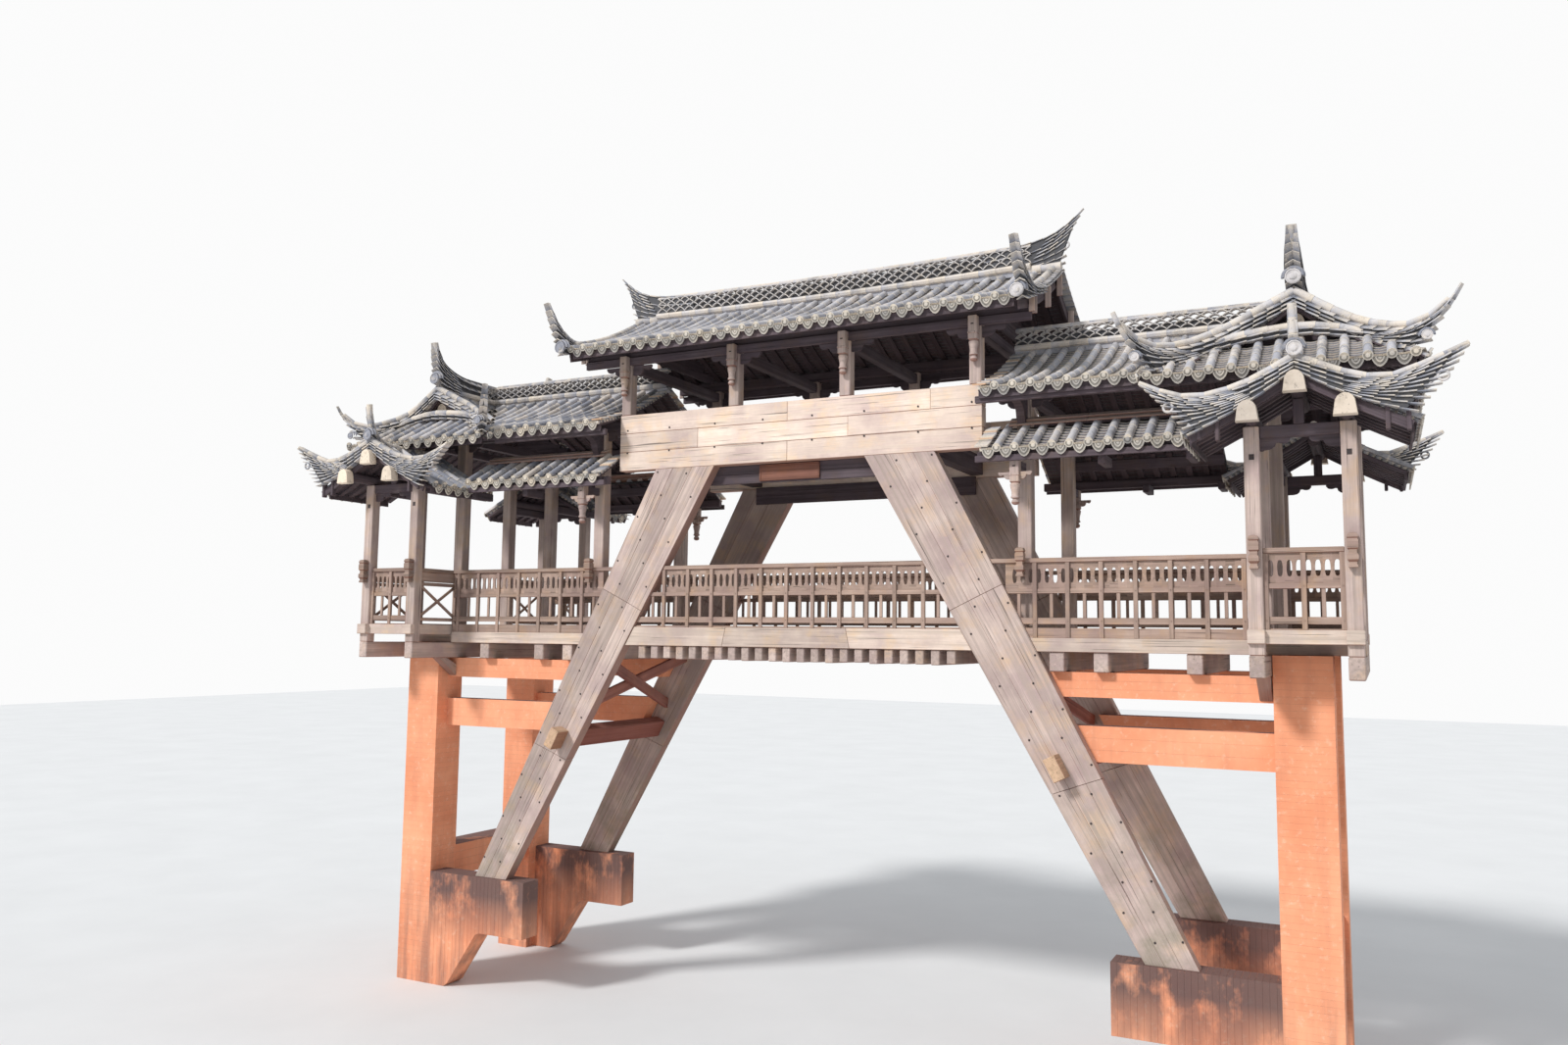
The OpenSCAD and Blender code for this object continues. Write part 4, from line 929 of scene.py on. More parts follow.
def slotted_board(shape, x0, x1, z0, z1, slots):
    """A board with upright pointed slots. Each slot's outline is joined to the
    edges of its own stretch of board by a ring of four-sided faces: point k of
    the slot looks at point k of a rectangle that is walked round at the same
    angles, and each corner of the rectangle takes the point nearest to it. The
    slot's x goes with the 0.6 power of the cosine, its height with the sine."""
    edges = np.concatenate([[x0], (slots[:-1] + slots[1:]) / 2, [x1]])
    n = 16
    turn = 2 * np.pi * (np.arange(n) + 0.5) / n
    reach = np.stack([np.cos(turn), np.sin(turn)], -1)
    mid = (z0 + z1) / 2
    hole = np.stack([SLOT_WIDE * np.sign(reach[:, 0]) * np.abs(reach[:, 0]) ** 0.6, SLOT_HIGH * reach[:, 1]], -1)
    m = np.arange(n)
    q = (m + 1) % n
    quads = np.concatenate([
        np.stack([m, m + n, q + n, q], -1), np.stack([q, q + n, m + n, m], -1) + 2 * n,
        np.stack([m, q, q + 2 * n, m + 2 * n], -1), np.stack([q + n, m + n, m + 3 * n, q + 3 * n], -1)])
    for a, b, at in zip(edges[:-1], edges[1:], slots):
        wide = np.where(reach[:, 0] > 0, b - at, at - a) / np.abs(reach[:, 0])
        tall = (z1 - z0) / 2 / np.abs(reach[:, 1])
        outer = np.array([at, mid]) + reach * np.minimum(wide, tall)[:, None]
        for corner in ((a, z0), (a, z1), (b, z0), (b, z1)):
            outer[np.argmin(np.linalg.norm(outer - corner, axis=1))] = corner
        flat = np.concatenate([hole + (at, mid), outer])
        front = spots(flat[:, 0], -0.01, flat[:, 1])
        points = np.concatenate([front, front * (1, -1, 1)])
        shape.add(points, quads, [], points + 7.0 * at, shape.rng.uniform(0.3, 0.9))


def railing(x0, x1, first, last, bays, foot, ends=(0, 0)):
    """One straight railing in the plane y = 0 with its outer face at -y: a
    handrail on a slotted board, a middle rail, square bars, a low rail and a
    ledge board, with upright brackets outside at equal bays. Its ends lean
    along the legs by a slope."""
    shape = Shape(41 + int(10 * (x1 - x0)))
    pitch = (last - first) / bays

    def lean(z, end):
        return ends[end] * (z - MID_RAIL[0])

    def level(z, y, cut=0.005):
        hexes(shape, cornered(lambda i, j, k: ((x0, x1)[i] + lean(z[k], i), (-y, y)[j], z[k])), cut, 0.85)

    level(HANDRAIL, 0.045, 0.008)
    level(MID_RAIL, 0.025)
    level(LOW_RAIL, 0.025)
    level((foot, LEDGE), 0.025, 0.003)
    a = x0 + max(lean(MID_RAIL[1], 0), lean(HANDRAIL[0], 0))
    b = x1 + min(lean(MID_RAIL[1], 1), lean(HANDRAIL[0], 1))
    at = first + pitch / 4 * (np.arange(-4, 4 * bays + 4) + 0.5)
    slotted_board(shape, a, b, MID_RAIL[1], HANDRAIL[0], at[(at > a + 0.05) & (at < b - 0.05)])
    at = first + pitch / 2 * np.arange(-2, 2 * bays + 3)
    at = at[(at > x0 + 0.05) & (at < x1 - 0.05)]
    row(shape, at, 0.023, (-0.015, 0.015), (LOW_RAIL[1], MID_RAIL[0]), 2, 0.004)
    at = first + pitch * np.arange(bays + 1)
    at = at + shape.rng.uniform(-0.004, 0.004, len(at))
    row(shape, at, 0.03, (-0.045, -0.0155), (foot, HANDRAIL[0]), 2, 0.005)
    for radius, z in ((0.011, 6.722), (0.009, 6.312)):
        stamp(shape, lathe([(radius, -0.003), (radius, 0.004)], 6), spots(at, -0.047, z), TO_FRONT, 0.0)
    return shape


def return_panel(wide):
    """The short railing between a porch post and a main post: a handrail on a
    plain board, and a frame with crossed bars."""
    shape = Shape(45)
    foot, head = 6.32, 6.875
    for z0, z1, y in ((*HANDRAIL, 0.045), (6.945, 7.115, 0.018), (head, 6.935, 0.03), (6.26, foot, 0.03),
                      (FLOOR, LEDGE, 0.025)):
        boxes(shape, (0, -y, z0), (wide, y, z1), 0, 0.005)
    row(shape, np.array([0.03, wide - 0.03]), 0.03, (-0.03, 0.03), (foot, head), 2)
    for y, z0, z1 in ((-0.012, foot + 0.01, head - 0.01), (0.012, head - 0.01, foot + 0.01)):
        beams(shape, (0.055, y, z0), (wide - 0.055, y, z1), 0.022, 0.055)
    return shape


def moved(shape, x=0.0, y=0.0, turn=0.0):
    """The same shape turned about z by the angle turn, then moved."""
    points, *rest = shape.arrays()
    c, s = math.cos(turn), math.sin(turn)
    copy = Shape()
    copy.add(points @ [(c, s, 0), (-s, c, 0), (0, 0, 1)] + (x, y, 0), *rest)
    return copy


class BRIDGE_OT_railings(bpy.types.Operator):
    """Railings with slotted boards, bars, outer brackets and newels"""
    bl_idname = "bridge.railings"
    bl_label = "Railings"

    def execute(self, context):
        inner, outer = (leg_edge(MID_RAIL[0], share) for share in (0.0, 1.0))
        centre = moved(railing(-inner, inner, -2.224, 2.224, 10, 6.19, (-LEG_RATE[0], LEG_RATE[0])), y=-RAIL_Y)
        side = moved(railing(outer, 6.7, 3.8585, 6.58, 6, SILL, (LEG_RATE[1], 0)), y=-RAIL_Y)
        side.join(moved(railing(6.88, 7.77, 6.91, 7.74, 2, FLOOR), y=-PORCH_Y))
        for x in PORCH_X:
            side.join(moved(return_panel(0.95), x=x, y=POST_Y[0], turn=-math.pi / 2))
        newels = Shape(48)
        stamp(newels, lathe(np.array(NEWEL) * (0.12 * math.sqrt(2), 1), 4),
              [(PORCH_X[0], -2.56, 0), (PORCH_X[1], -2.56, 0), (SIDE_X, -1.62, 0)], np.eye(3), 0.7)
        side.join(newels)
        places("railing_{row}_centre_timber", centre, "rail", "railing_{row}_centre")
        places("railing_{row}_{side}_timber", side, "rail", "railing_{row}_{side}")
        return {"FINISHED"}


# Posts, hanging posts and beams

PLATE, PORCH_TOP, CENTRE_TOP = (9.511, 9.681), 8.662, 10.868
PURLINS = [(-0.52, 8.747), (0.0, 9.059), (0.52, 8.747)]
# Radius or half width and height above the foot of a hanging post's carved end
HANGER = [(0.02, 0), (0.046, 0.012), (0.056, 0.035), (0.05, 0.06), (0.036, 0.075), (0.036, 0.085), (0.062, 0.095),
          (0.062, 0.115), (0.05, 0.13), (0.052, 0.18), (0.068, 0.25), (0.073, 0.285), (0.058, 0.3), (0.066, 0.315)]


def lobed(long, deep, turn=1, at=(0, 0)):
    """Outline of a bracket board: a level top, and two lobes under it that run
    back to the post, each an arc whose angle is taken in steps of 30 degrees."""
    a, b = np.radians(np.arange(0, 151, 30)), np.radians(np.arange(0, 91, 30))
    lobes = np.concatenate([
        np.stack([0.78 + 0.18 * np.cos(a), -0.3 - 0.2 * np.sin(a)], -1),
        np.stack([0.24 + 0.3 * np.cos(b), -0.42 - 0.58 * np.sin(b)], -1)])
    return np.concatenate([[(0, 0), (1, 0), (1, -0.2)], lobes, [(0, -1)]]) * (long, deep) * (turn, 1) + at


def hanging_post(shape, x, y, foot, top):
    """A hanging post: the turned end, whose rings have the radius and height
    listed above, then a square part with a ledge."""
    stamp(shape, lathe(HANGER, 12), (x, y, foot), np.eye(3), 0.9)
    for half, z0, z1, cut, tone in ((0.066, foot + 0.312, top, 0.01, 0.85),
                                    (0.072, foot + 0.4, foot + 0.43, 0.006, 0.7)):
        boxes(shape, (x - half, y - half, z0), (x + half, y + 0.064, z1), 2, cut, tone)


class BRIDGE_OT_posts(bpy.types.Operator):
    """Posts of the ends and of the upper storey, with carved hanging posts"""
    bl_idname = "bridge.posts"
    bl_label = "Posts"

    def execute(self, context):
        shape, holes, upper, hang, notch = (Shape(seed) for seed in (51, 52, 53, 54, 55))
        low, high = low_high("posts_right")
        porch = np.array(PORCH_X)
        row(shape, np.array([SIDE_X, *porch]), 0.1, POST_Y, (SILL, high[2]), 2, 0.012)
        row(shape, porch, 0.09, PORCH_POST_Y, (low[2], PORCH_TOP), 2, 0.012)
        # painted shade: dark boxes stand for the holes through the porch posts
        row(holes, porch, 0.03, (PORCH_POST_Y[0] - 0.002, -2.46), (8.25, 8.32), 2, 0.002, 0.1)
        places("posts_{side}_timber", shape.both(y=True), "timber", "posts_{side}")
        places("post_hole_shade_{side}", holes.both(y=True), "iron")
        low, high = low_high("upper_posts")
        row(upper, np.array(UPPER_X), 0.09, (-1.57, -1.39), (low[2], high[2]), 2, 0.012)
        place("upper_posts_timber", upper.both(x=True, y=True), "timber", "upper_posts")
        for x in UPPER_X:
            hanging_post(hang, x, -1.635, 10.028, 10.698)
        hanging_post(hang, SIDE_X, -1.83, 7.902, 8.532)
        for turn in (-1, 1):
            plates(hang, lobed(0.17, 0.1, turn, (SIDE_X + turn * 0.066, 8.36)), -1.85, -1.81)
        place("hanging_posts_carved", hang.both(x=True, y=True), "timber", "pendants", smooth=35)
        # painted shade: a dark box stands for the notch in the front of each hanging post
        for x, y, z in ((UPPER_X[0], -1.702, 10.56), (UPPER_X[1], -1.702, 10.56), (SIDE_X, -1.897, 8.43)):
            boxes(notch, (x - 0.022, y, z), (x + 0.022, y + 0.01, z + 0.02), 0, 0.001, 0.0)
        place("hanging_post_notch_shade", notch.both(x=True, y=True), "iron")
        return {"FINISHED"}


class BRIDGE_OT_beams(bpy.types.Operator):
    """Tie beams, plates, purlins and carved bracket boards under the roofs"""
    bl_idname = "bridge.beams"
    bl_label = "Beams under the roofs"

    def execute(self, context):
        places("tie_beams_{side}_timber", self.end_beams(), "dark", "tie_beams_{side}", smooth=35)
        low, high = low_high("tie_beams_centre")
        shape = Shape(62)
        reach, top = high[0] - 0.05, CENTRE_TOP
        boxes(shape, (-reach, -1.56, top - 0.17), (reach, -1.4, top), 0, 0.01)
        boxes(shape, (-reach, -1.60, top - 0.31), (reach, -1.53, top - 0.18), 0, 0.008)
        for x in UPPER_X:
            for turn in (-1, 1):
                for mirror in (-1, 1):
                    plates(shape, lobed(0.36, 0.16, turn, (mirror * x + turn * 0.09, top - 0.31)), -1.52, -1.48)
        shape.both(y=True)
        at = np.array([-3.03, -0.97, 0.97, 3.03])
        row(shape, at, 0.07, (-1.39, 1.39), (low[2], low[2] + 0.17), 1, 0.01)
        place("tie_beams_centre_timber", shape, "dark", "tie_beams_centre")
        return {"FINISHED"}

    def end_beams(self):
        """Beams, purlins, brackets and gable boards of the right end."""
        shape = Shape(61)
        z0, z1 = PLATE
        porch = PORCH_TOP - 0.15, PORCH_TOP
        boxes(shape, (3.15, -1.35, z0), (7.96, -1.19, z1), 0, 0.01)
        boxes(shape, (3.15, -1.98, 9.34), (5.5, -1.91, 9.44), 0, 0.008)
        boxes(shape, (6.88, -2.47, porch[0]), (7.77, -2.35, porch[1]), 0, 0.01)
        for x in PORCH_X:
            row(shape, np.array([x]), 0.06, (PORCH_POST_Y[1], POST_Y[0]), porch, 1, 0.01)
        for dx, z in PURLINS:
            sweep(shape, [(PORCH_MID + dx, -PORCH_FRONT, z), (PORCH_MID + dx, POST_Y[0], z)], circle(0.085, 14))
        boxes(shape, (7.265, -2.47, PORCH_TOP), (7.385, -2.35, 8.97), 2, 0.008)
        # the low roof's ledger and its outer plates
        for x, y, z, cut in ((3.58, (-1.43, -1.37), (8.774, 8.934), 0.008),
                             (3.15, (-1.88, -1.78), (8.532, 8.662), 0.008),
                             (3.15, (-1.99, -1.95), (8.5, 8.59), 0.006)):
            boxes(shape, (x, y[0], z[0]), (6.06, y[1], z[1]), 0, cut)
        for x in (SIDE_X, 4.87, 6.0):
            row(shape, np.array([x]), 0.05, (-1.88 if x > 4 else -1.765, -1.43), (8.402, 8.532), 1, 0.008)
        for x, turn in ((6.88, 1), (7.77, -1)):
            plates(shape, lobed(0.34, 0.14, turn, (x, porch[0])), -2.43, -2.39)
        for x, turn in ((SIDE_X, -1), (SIDE_X, 1), (6.79, -1), (6.79, 1), (7.86, -1)):
            plates(shape, lobed(0.3, 0.15, turn, (x + turn * 0.1, z0)), -1.29, -1.25)
        corbel = through([(-1.88, 9.44), (-1.8, 9.375), (-1.68, 9.35), (-1.58, 9.29), (-1.54, 9.19), (-1.48, 9.08)], 4)
        plates(shape, [(-1.37, 9.5), (-1.88, 9.5), *corbel.tolist(), (-1.37, 9.08)], 3.62, 3.74, "yz")
        # level boards that narrow up the gable
        z = np.linspace(z1, 10.3, 6)
        half = np.interp(z[1:], [9.68, 10.3], [1.05, 0.12])
        boxes(shape, spots(CROSS_X - half, -1.27, z[:-1] + 0.002),
              spots(CROSS_X + np.minimum(half * 0.85, 0.69), -1.23, z[1:]), 0, 0.004)
        shape.both(y=True)
        for x in (SIDE_X, *PORCH_X):
            row(shape, np.array([x]), 0.07, (-1.19, 1.19), (z0, z0 + 0.15), 1, 0.01)
        return shape


# Roofs


class Slope:
    """A tiled slope. A point lies s along the ridge and r out from it, and its
    height is ridge less the fall's share r / reach less a hollow of sag times
    the fall times the sine of half a turn of that share. The roof keeps the
    points for which keep is true."""

    def __init__(self, origin, out, reach, ridge, eave, sag=0.1, keep=None):
        self.origin, self.out = np.array(origin, float), np.array(out, float)
        self.along = np.array([-self.out[1], self.out[0]])
        self.reach, self.ridge, self.fall, self.sag, self.keep = reach, ridge, ridge - eave, sag, keep

    def height(self, r):
        t = np.asarray(r) / self.reach
        return self.ridge - self.fall * t - self.sag * self.fall * np.sin(np.pi * np.clip(t, 0, 1))

    def spot(self, s, r, n):
        """Points s along, r out and n off the surface: n over the root of one
        plus the rate squared goes up, and that times the rate goes back."""
        s, r, n = np.broadcast_arrays(s, r, n)
        rate = (self.height(r + 1e-3) - self.height(r - 1e-3)) / 2e-3
        size = np.sqrt(1 + rate ** 2)
        flat = self.origin + self.along * s[..., None] + self.out * (r - rate / size * n)[..., None]
        return np.concatenate([flat, (self.height(r) + n / size)[..., None]], -1)

    def kept(self, s, r):
        """Which of the surface's points the roof keeps."""
        at = self.spot(s, r, 0.0)
        return np.ones(at.shape[:-1], bool) if self.keep is None else self.keep(*np.moveaxis(at, -1, 0))


def strips(shape, slope, columns, rings, profile, size=1.0, lift=0.0, tone=None, mark=0.0):
    """Closed profiles carried down a slope at each column. Profile point m of
    ring k lies at column + x m size k along the ridge and y m size k + lift k
    off the surface. Stretches that the slope doesn't keep are left out."""
    columns, rings = np.asarray(columns, float), np.asarray(rings, float)
    profile = np.asarray(profile, float)
    c, k, m = len(columns), len(rings), len(profile)
    size, lift = np.broadcast_to(size, k), np.broadcast_to(lift, k)
    s = columns[:, None, None] + profile[:, 0] * size[:, None]
    n = profile[:, 1] * size[:, None] + lift[:, None]
    points = slope.spot(s, rings[None, :, None], n[None])
    whole = slope.kept(columns[:, None], rings[None])
    column, ring, corner = np.meshgrid(np.arange(c), np.arange(k - 1), np.arange(m), indexing="ij")
    after = (corner + 1) % m
    first = (column * k + ring) * m
    quads = np.stack([first + corner, first + after, first + m + after, first + m + corner], -1)
    quads = quads[(whole[:, :-1] & whole[:, 1:])[column, ring]]
    ends = np.stack([np.zeros(m - 2, int), np.arange(1, m - 1), np.arange(2, m)], -1)
    start = (np.arange(c) * k * m)[:, None, None]
    tris = np.concatenate([(ends[:, ::-1] + start)[whole[:, 0]].reshape(-1, 3),
                           (ends + start + (k - 1) * m)[whole[:, -1]].reshape(-1, 3)])
    grain = spots(rings[None, :, None], s, n[None]).reshape(-1, 3)
    tone = shape.rng.uniform(0, 1, (c, k)) if tone is None else np.broadcast_to(tone, (c, k))
    used, back = np.unique(np.concatenate([quads.ravel(), tris.ravel()]), return_inverse=True)
    four = 4 * len(quads)
    shape.add(points.reshape(-1, 3)[used], back[:four], back[four:], grain[used],
              np.repeat(tone.ravel(), m)[used], np.repeat(np.broadcast_to(mark, (c, k)).ravel(), m)[used])


HALF_TURN = np.pi * np.arange(7) / 6
COVER = np.stack([np.cos(HALF_TURN), np.sin(HALF_TURN)], -1)
PAN_X = np.linspace(1, -1, 5)
PAN = np.concatenate([np.stack([PAN_X, 0.6 * PAN_X ** 2 - 0.3], -1), [(-1, -0.6), (1, -0.6)]])
DISC = lathe([(1.0, -0.16), (1.0, 0.14), (0.86, 0.2), (0.78, 0.1), (0.5, 0.1), (0.42, 0.2), (0.1, 0.24)], 12)
# Gap between two tiles, and how far the lowest ones hang over the edge
SEAM, OVERHANG = 0.001, 0.03
# Lengths of flat tiles, of the round ones of ridges, and of thin ones on edge
FLAT_TILE, ROUND_TILE, THIN_TILE = 0.2, 0.28, 0.19


def drip_pattern():
    """A drip tile of half width 1 that hangs in x and -y under a hollow top
    edge: each ring is a share of the outline at its own height, and the outline
    is an arc drawn down to a blunt point, with raised arcs inside its rim."""
    turn = np.pi * (1 + np.arange(9) / 8)
    rings = np.array([(1.0, -0.12), (1.0, 0.1), (0.88, 0.13), (0.8, 0.02), (0.62, 0.02), (0.55, 0.11),
                      (0.42, 0.11), (0.34, 0.02), (0.16, 0.1)])
    fall = 1.22 * (1 + 0.16 * np.abs(np.sin(turn)) ** 4)
    share, rise = rings[:, :1], rings[:, 1:]
    points = spots(share * np.cos(turn), share * fall * np.sin(turn) - 0.12 * (1 - share), rise).reshape(-1, 3)
    k, m = np.meshgrid(9 * np.arange(8), np.arange(8), indexing="ij")
    quads = np.stack([k + m, k + m + 1, k + m + 10, k + m + 9], -1).reshape(-1, 4)
    m, last, front = m[0], 72, 81
    tris = np.concatenate([np.stack([last + m, last + m + 1, 0 * m + front], -1),
                           np.stack([m + 1, m, 0 * m + front + 1], -1),
                           [(last + 8, last, front), (0, 8, front + 1)]])
    # the top edge, from one end of each ring to the other
    ends = 9 * np.arange(8)[:, None] + (8, 0, 9, 17)
    return np.concatenate([points, [(0, -0.12, 0.1), (0, -0.12, -0.12)]]), np.concatenate([quads, ends]), tris


DRIP = drip_pattern()


def courses(reach, long, over=OVERHANG, back=(SEAM,)):
    """How many tiles about so long cover a reach and hang over it, and the
    rings of each: its start, and some way back from the start of the next."""
    n = max(2, round(reach / long))
    ends = np.linspace(0.0, reach + over, n + 1)
    return n, np.stack([ends[:-1], *(ends[1:] - way for way in back)], -1).ravel()


def tile(covers, drips, boards, slope, low, high, flat=None):
    """Covers, pans, end tiles, boarding and rafters of a slope whose columns
    lie between two distances along its ridge. Flat is 0 or -1 for the first or
    last column, where a row of flat tiles lies in place of the cover."""
    radius, reach = sizes().cover_radius, slope.reach
    count = max(2, round((high - low) / sizes().tile_pitch))
    pitch = (high - low) / count
    columns = low + pitch * np.arange(count + 1)
    gaps = (columns[:-1] + columns[1:]) / 2
    n, rings = courses(reach, sizes().pan_tile, 0.035)
    tone = np.repeat(np.clip(covers.rng.normal(0.62, 0.2, (count, n)), 0, 1), 2, axis=1)
    # pans: the start of each tile, under the one before it, is marked for painted shadow
    strips(covers, slope, gaps, rings, PAN * (pitch / 2 - 0.006, 0.05), 1.0, np.tile([-0.02, 0.014], n), tone,
           np.tile([-1.0, 1.0], n))
    if flat is not None:
        n, rings = courses(reach, FLAT_TILE)
        tone = np.repeat(covers.rng.uniform(0.4, 1, (1, n)), 2, axis=1)
        # flat tiles: the start of each is marked for painted shadow
        mark = np.stack([np.full(n, -0.5), covers.rng.choice([0.6, 2.0], n)], -1).ravel()
        strips(covers, slope, columns[[flat]] - OVERHANG * (1 if flat else -1), rings, oblong(0.19, 0.022), 1.0,
               np.tile([0.02, 0.045], n), tone, mark)
        columns = np.delete(columns, flat)
    c = len(columns)
    n, rings = courses(reach, sizes().cover_tile, back=(0.024, SEAM))
    tone = np.repeat(covers.rng.uniform(0.35, 0.95, (c, n)), 3, axis=1)
    sway = covers.rng.normal(0, 0.004, c)
    strips(covers, slope, columns + sway, rings, COVER * (1, 1.15) * radius, np.tile([0.9, 1.0, 1.04], n), 0.02,
           tone, np.tile([0.0, 0.0, 1.0], n))
    side, face = np.array([*slope.along, 0]), unit(np.array([*slope.out, -0.15]))
    axes = np.array([side, np.cross(face, side), face])
    for pattern, at, size, rise, tone, deep in ((DISC, columns + sway, 1.05 * radius, 0.025, 0.75, 0.105),
                                                (DRIP, gaps, 0.09, 0.004, 0.45, 0.05)):
        points, *faces = pattern
        at = slope.spot(at, reach + OVERHANG, rise)[slope.kept(at, reach)]
        tone = np.clip(covers.rng.normal(tone, 0.12, len(at)), 0, 1)
        # painted shadow: the hollow rings of the end and drip tiles are marked below 0
        hollow = (points[:, 2] > -0.05) & (points[:, 2] < deep)
        stamp(drips, (points * size, *faces), at, axes, tone, np.tile(-0.62 * hollow, len(at)))
    for at, end, section in ((gaps, reach, oblong(pitch, 0.02, -0.045)),
                             (columns, reach - OVERHANG, oblong(0.09, 0.045, -0.09))):
        tone = np.repeat(boards.rng.uniform(0, 1, (len(at), 1)), 9, axis=1)
        strips(boards, slope, at, np.linspace(0.0, end, 9), section, tone=tone)
    at = np.linspace(low, high, 81)
    for part in np.split(at, np.flatnonzero(np.diff(slope.kept(at, reach))) + 1):
        if len(part) > 4 and slope.kept(part[2], reach):
            edge = slope.spot(part[[0, -1]], reach - 0.012, -0.1)
            beams(boards, edge[0], edge[1], 0.03, 0.11, cut=0.004, tone=1.0)


def tube(shape, points, radius, thin=1.0, side=None, tone=0.8, long=ROUND_TILE):
    """Round tiles end to end along a smooth curve: the radius falls with the
    square of the way along to the thin share, and each tile widens to its end."""
    line = through(points)
    n = max(2, round(runs(line)[-1] / long))
    t = np.linspace(0, 1, n + 1)
    size = radius * (1 - (1 - thin) * t ** 2)
    sweep(shape, along(line, t), circle(1.0), side, size, size, tone, (0.0, 0.8), step=0.0, swell=1.09)


def folded(wide, drop):
    """Section of a thin tile with a fold along its middle: its edges drop."""
    half, thick = wide / 2, 0.016
    return np.array([(half, -drop - thick), (half, -drop), (0, 0), (-half, -drop), (-half, -drop - thick), (0, -thick)])


FOLD_ENDS = np.array([(0, 1, 2, 5), (5, 2, 3, 4)])


def web(shape, low, top, side, thick):
    """A thin dark wall of painted shade between a low and a top line, thick on both sides."""
    side = thick * unit(np.cross((0, 0, 1), np.gradient(low, axis=0)) if side is None
                        else np.broadcast_to(side, low.shape))
    ring = np.stack([low + side, top + side, top - side, low - side], 1)
    last = 4 * len(low) - 4
    ends = np.array([(3, 2, 1, 0), (last, last + 1, last + 2, last + 3)])
    quads = np.concatenate([ring_faces(len(low), 4)[0], ends])
    shape.add(ring, quads, [], ring.reshape(-1, 3), 0.0, -1.0)


def fan(shape, top, low, cut, layers=7, wide=0.12, drop=0.0, side=None, begin=0.0, tip=0.6, tone=None):
    """Thin tiles that spread from a row into a horn. Layer f, from 0 at the
    bottom to 1 at the top, runs along low (1 - f) + top f, plus the square of
    the way along times what it misses to its end, which lies the share f along
    the cut. The top layer and every third one below it are whole, the others
    begin the share begin along, and each narrows to its end. Each tile's near
    end is marked for painted shadow. A dark wall of painted shade fills the
    gaps between the layers but for their last tenth."""
    share = np.linspace(0, 1, 33)
    top, low = along(through(top), share), along(through(low), share)
    lines = []
    for i, f in enumerate(np.linspace(0, 1, layers)):
        line = low * (1 - f) + top * f
        line += share[:, None] ** 2 * (along(cut, f) - line[-1])
        lines.append(line)
        start = begin * ((layers - 1 - i) % 3 > 0)
        n = max(2, round(runs(line)[-1] * (1 - start) / THIN_TILE))
        t = np.linspace(0, 1, n + 1)
        narrow = (1 - (1 - tip) * f * t ** 2) * (1 - 0.2 * (1 - f))
        sweep(shape, along(line, start + (1 - start) * t), folded(wide, drop), side, narrow, narrow, tone,
              (-0.6, 0.7), step=0.012, ends=FOLD_ENDS)
    web(shape, lines[0][:30], lines[-1][:30] - (0, 0, 0.02), side, 0.25 * wide)


def loop(shape, centre, radius, thick, share=1.0, turn=0.0, tone=0.9):
    """A ring, or a share of one, in the plane y = centre y."""
    at = turn + share * np.linspace(0, 2 * np.pi, 15)
    path = spots(centre[0] + radius * np.cos(at), centre[1], centre[2] + radius * np.sin(at))
    sweep(shape, path, circle(thick, 7), (0, 1, 0), tone=tone)


def boss(shape, centre, radius=0.1):
    """A round end tile that faces the front under a ruffled collar."""
    stamp(shape, (DISC[0] * radius, *DISC[1:]), centre, TO_FRONT, 0.9)
    for size, back in ((1.12, 0.03), (1.3, 0.07)):
        loop(shape, np.add(centre, (0, back, 0.01)), radius * size, radius * 0.19, 0.52, -0.06, 0.05)


def wave(shape, start, end, side, base, high, shift, bow):
    """A row of thin tiles stood on edge in arcs: the height is base, plus high
    times the size of the sine of half a turn for each tile, plus bow times the
    square of the way from the middle."""
    run = end - start
    n = max(1, round(np.linalg.norm(run) / THIN_TILE))
    t = np.linspace(0, 1, 6 * n + 1)
    path = start + run * t[:, None]
    path[:, 2] += base + high * np.abs(np.sin(np.pi * (n * t + shift))) + bow * (2 * t - 1) ** 2
    sweep(shape, path, oblong(0.11, 0.013), side=side, tone=0.8, mark=0.35)


def lattice(shape, start, end, bow=0.0, core=0.55, high=0.44):
    """An open ridge of tiles: round tiles on both sides of a low wall, four
    rows of thin arcs that stand on each other's crowns, before a dark core of
    painted shade as high as the named share of them, and a flat cap. The ridge
    rises from its middle by bow times the square of the way to its ends."""
    start, end = np.array(start, float), np.array(end, float)
    side = unit(np.cross((0, 0, 1), end - start))
    n = max(3, round(np.linalg.norm(end - start) / ROUND_TILE))
    t = np.linspace(0, 1, n + 1)
    line = start + (end - start) * t[:, None]
    line[:, 2] += bow * (2 * t - 1) ** 2
    up = np.array([0, 0, 1.0])
    for across in (-0.065, 0.065):
        sweep(shape, line + side * across + up * 0.1, circle(0.05, 8), tone=0.8, mark=(0.0, 0.8), step=0.0,
              swell=1.08)
    sweep(shape, line - up * 0.03, oblong(0.12, 0.17), tone=0.4)
    base, top = 0.165, high - 0.075
    step = (top - base) / 4
    for level in range(4):
        wave(shape, start, end, side, base + level * step - 0.004, step + 0.005, 0.5 * (level % 2), bow)
    # the dark core is painted shade inside the open ridge
    sweep(shape, line + up * base, oblong(0.02, core * (top - base)), tone=0.0, mark=-1.0)
    sweep(shape, line + up * top, oblong(0.115, 0.02), tone=0.75, mark=(0.0, 0.5), step=0.005)
    sweep(shape, line + up * (top + 0.022), oblong(0.085, 0.02), tone=0.9, mark=(0.0, 0.5), step=0.005)
    sweep(shape, line + up * (top + 0.045), circle(0.026, 8), tone=0.95, mark=(0.0, 0.8), step=0.0, swell=1.1)


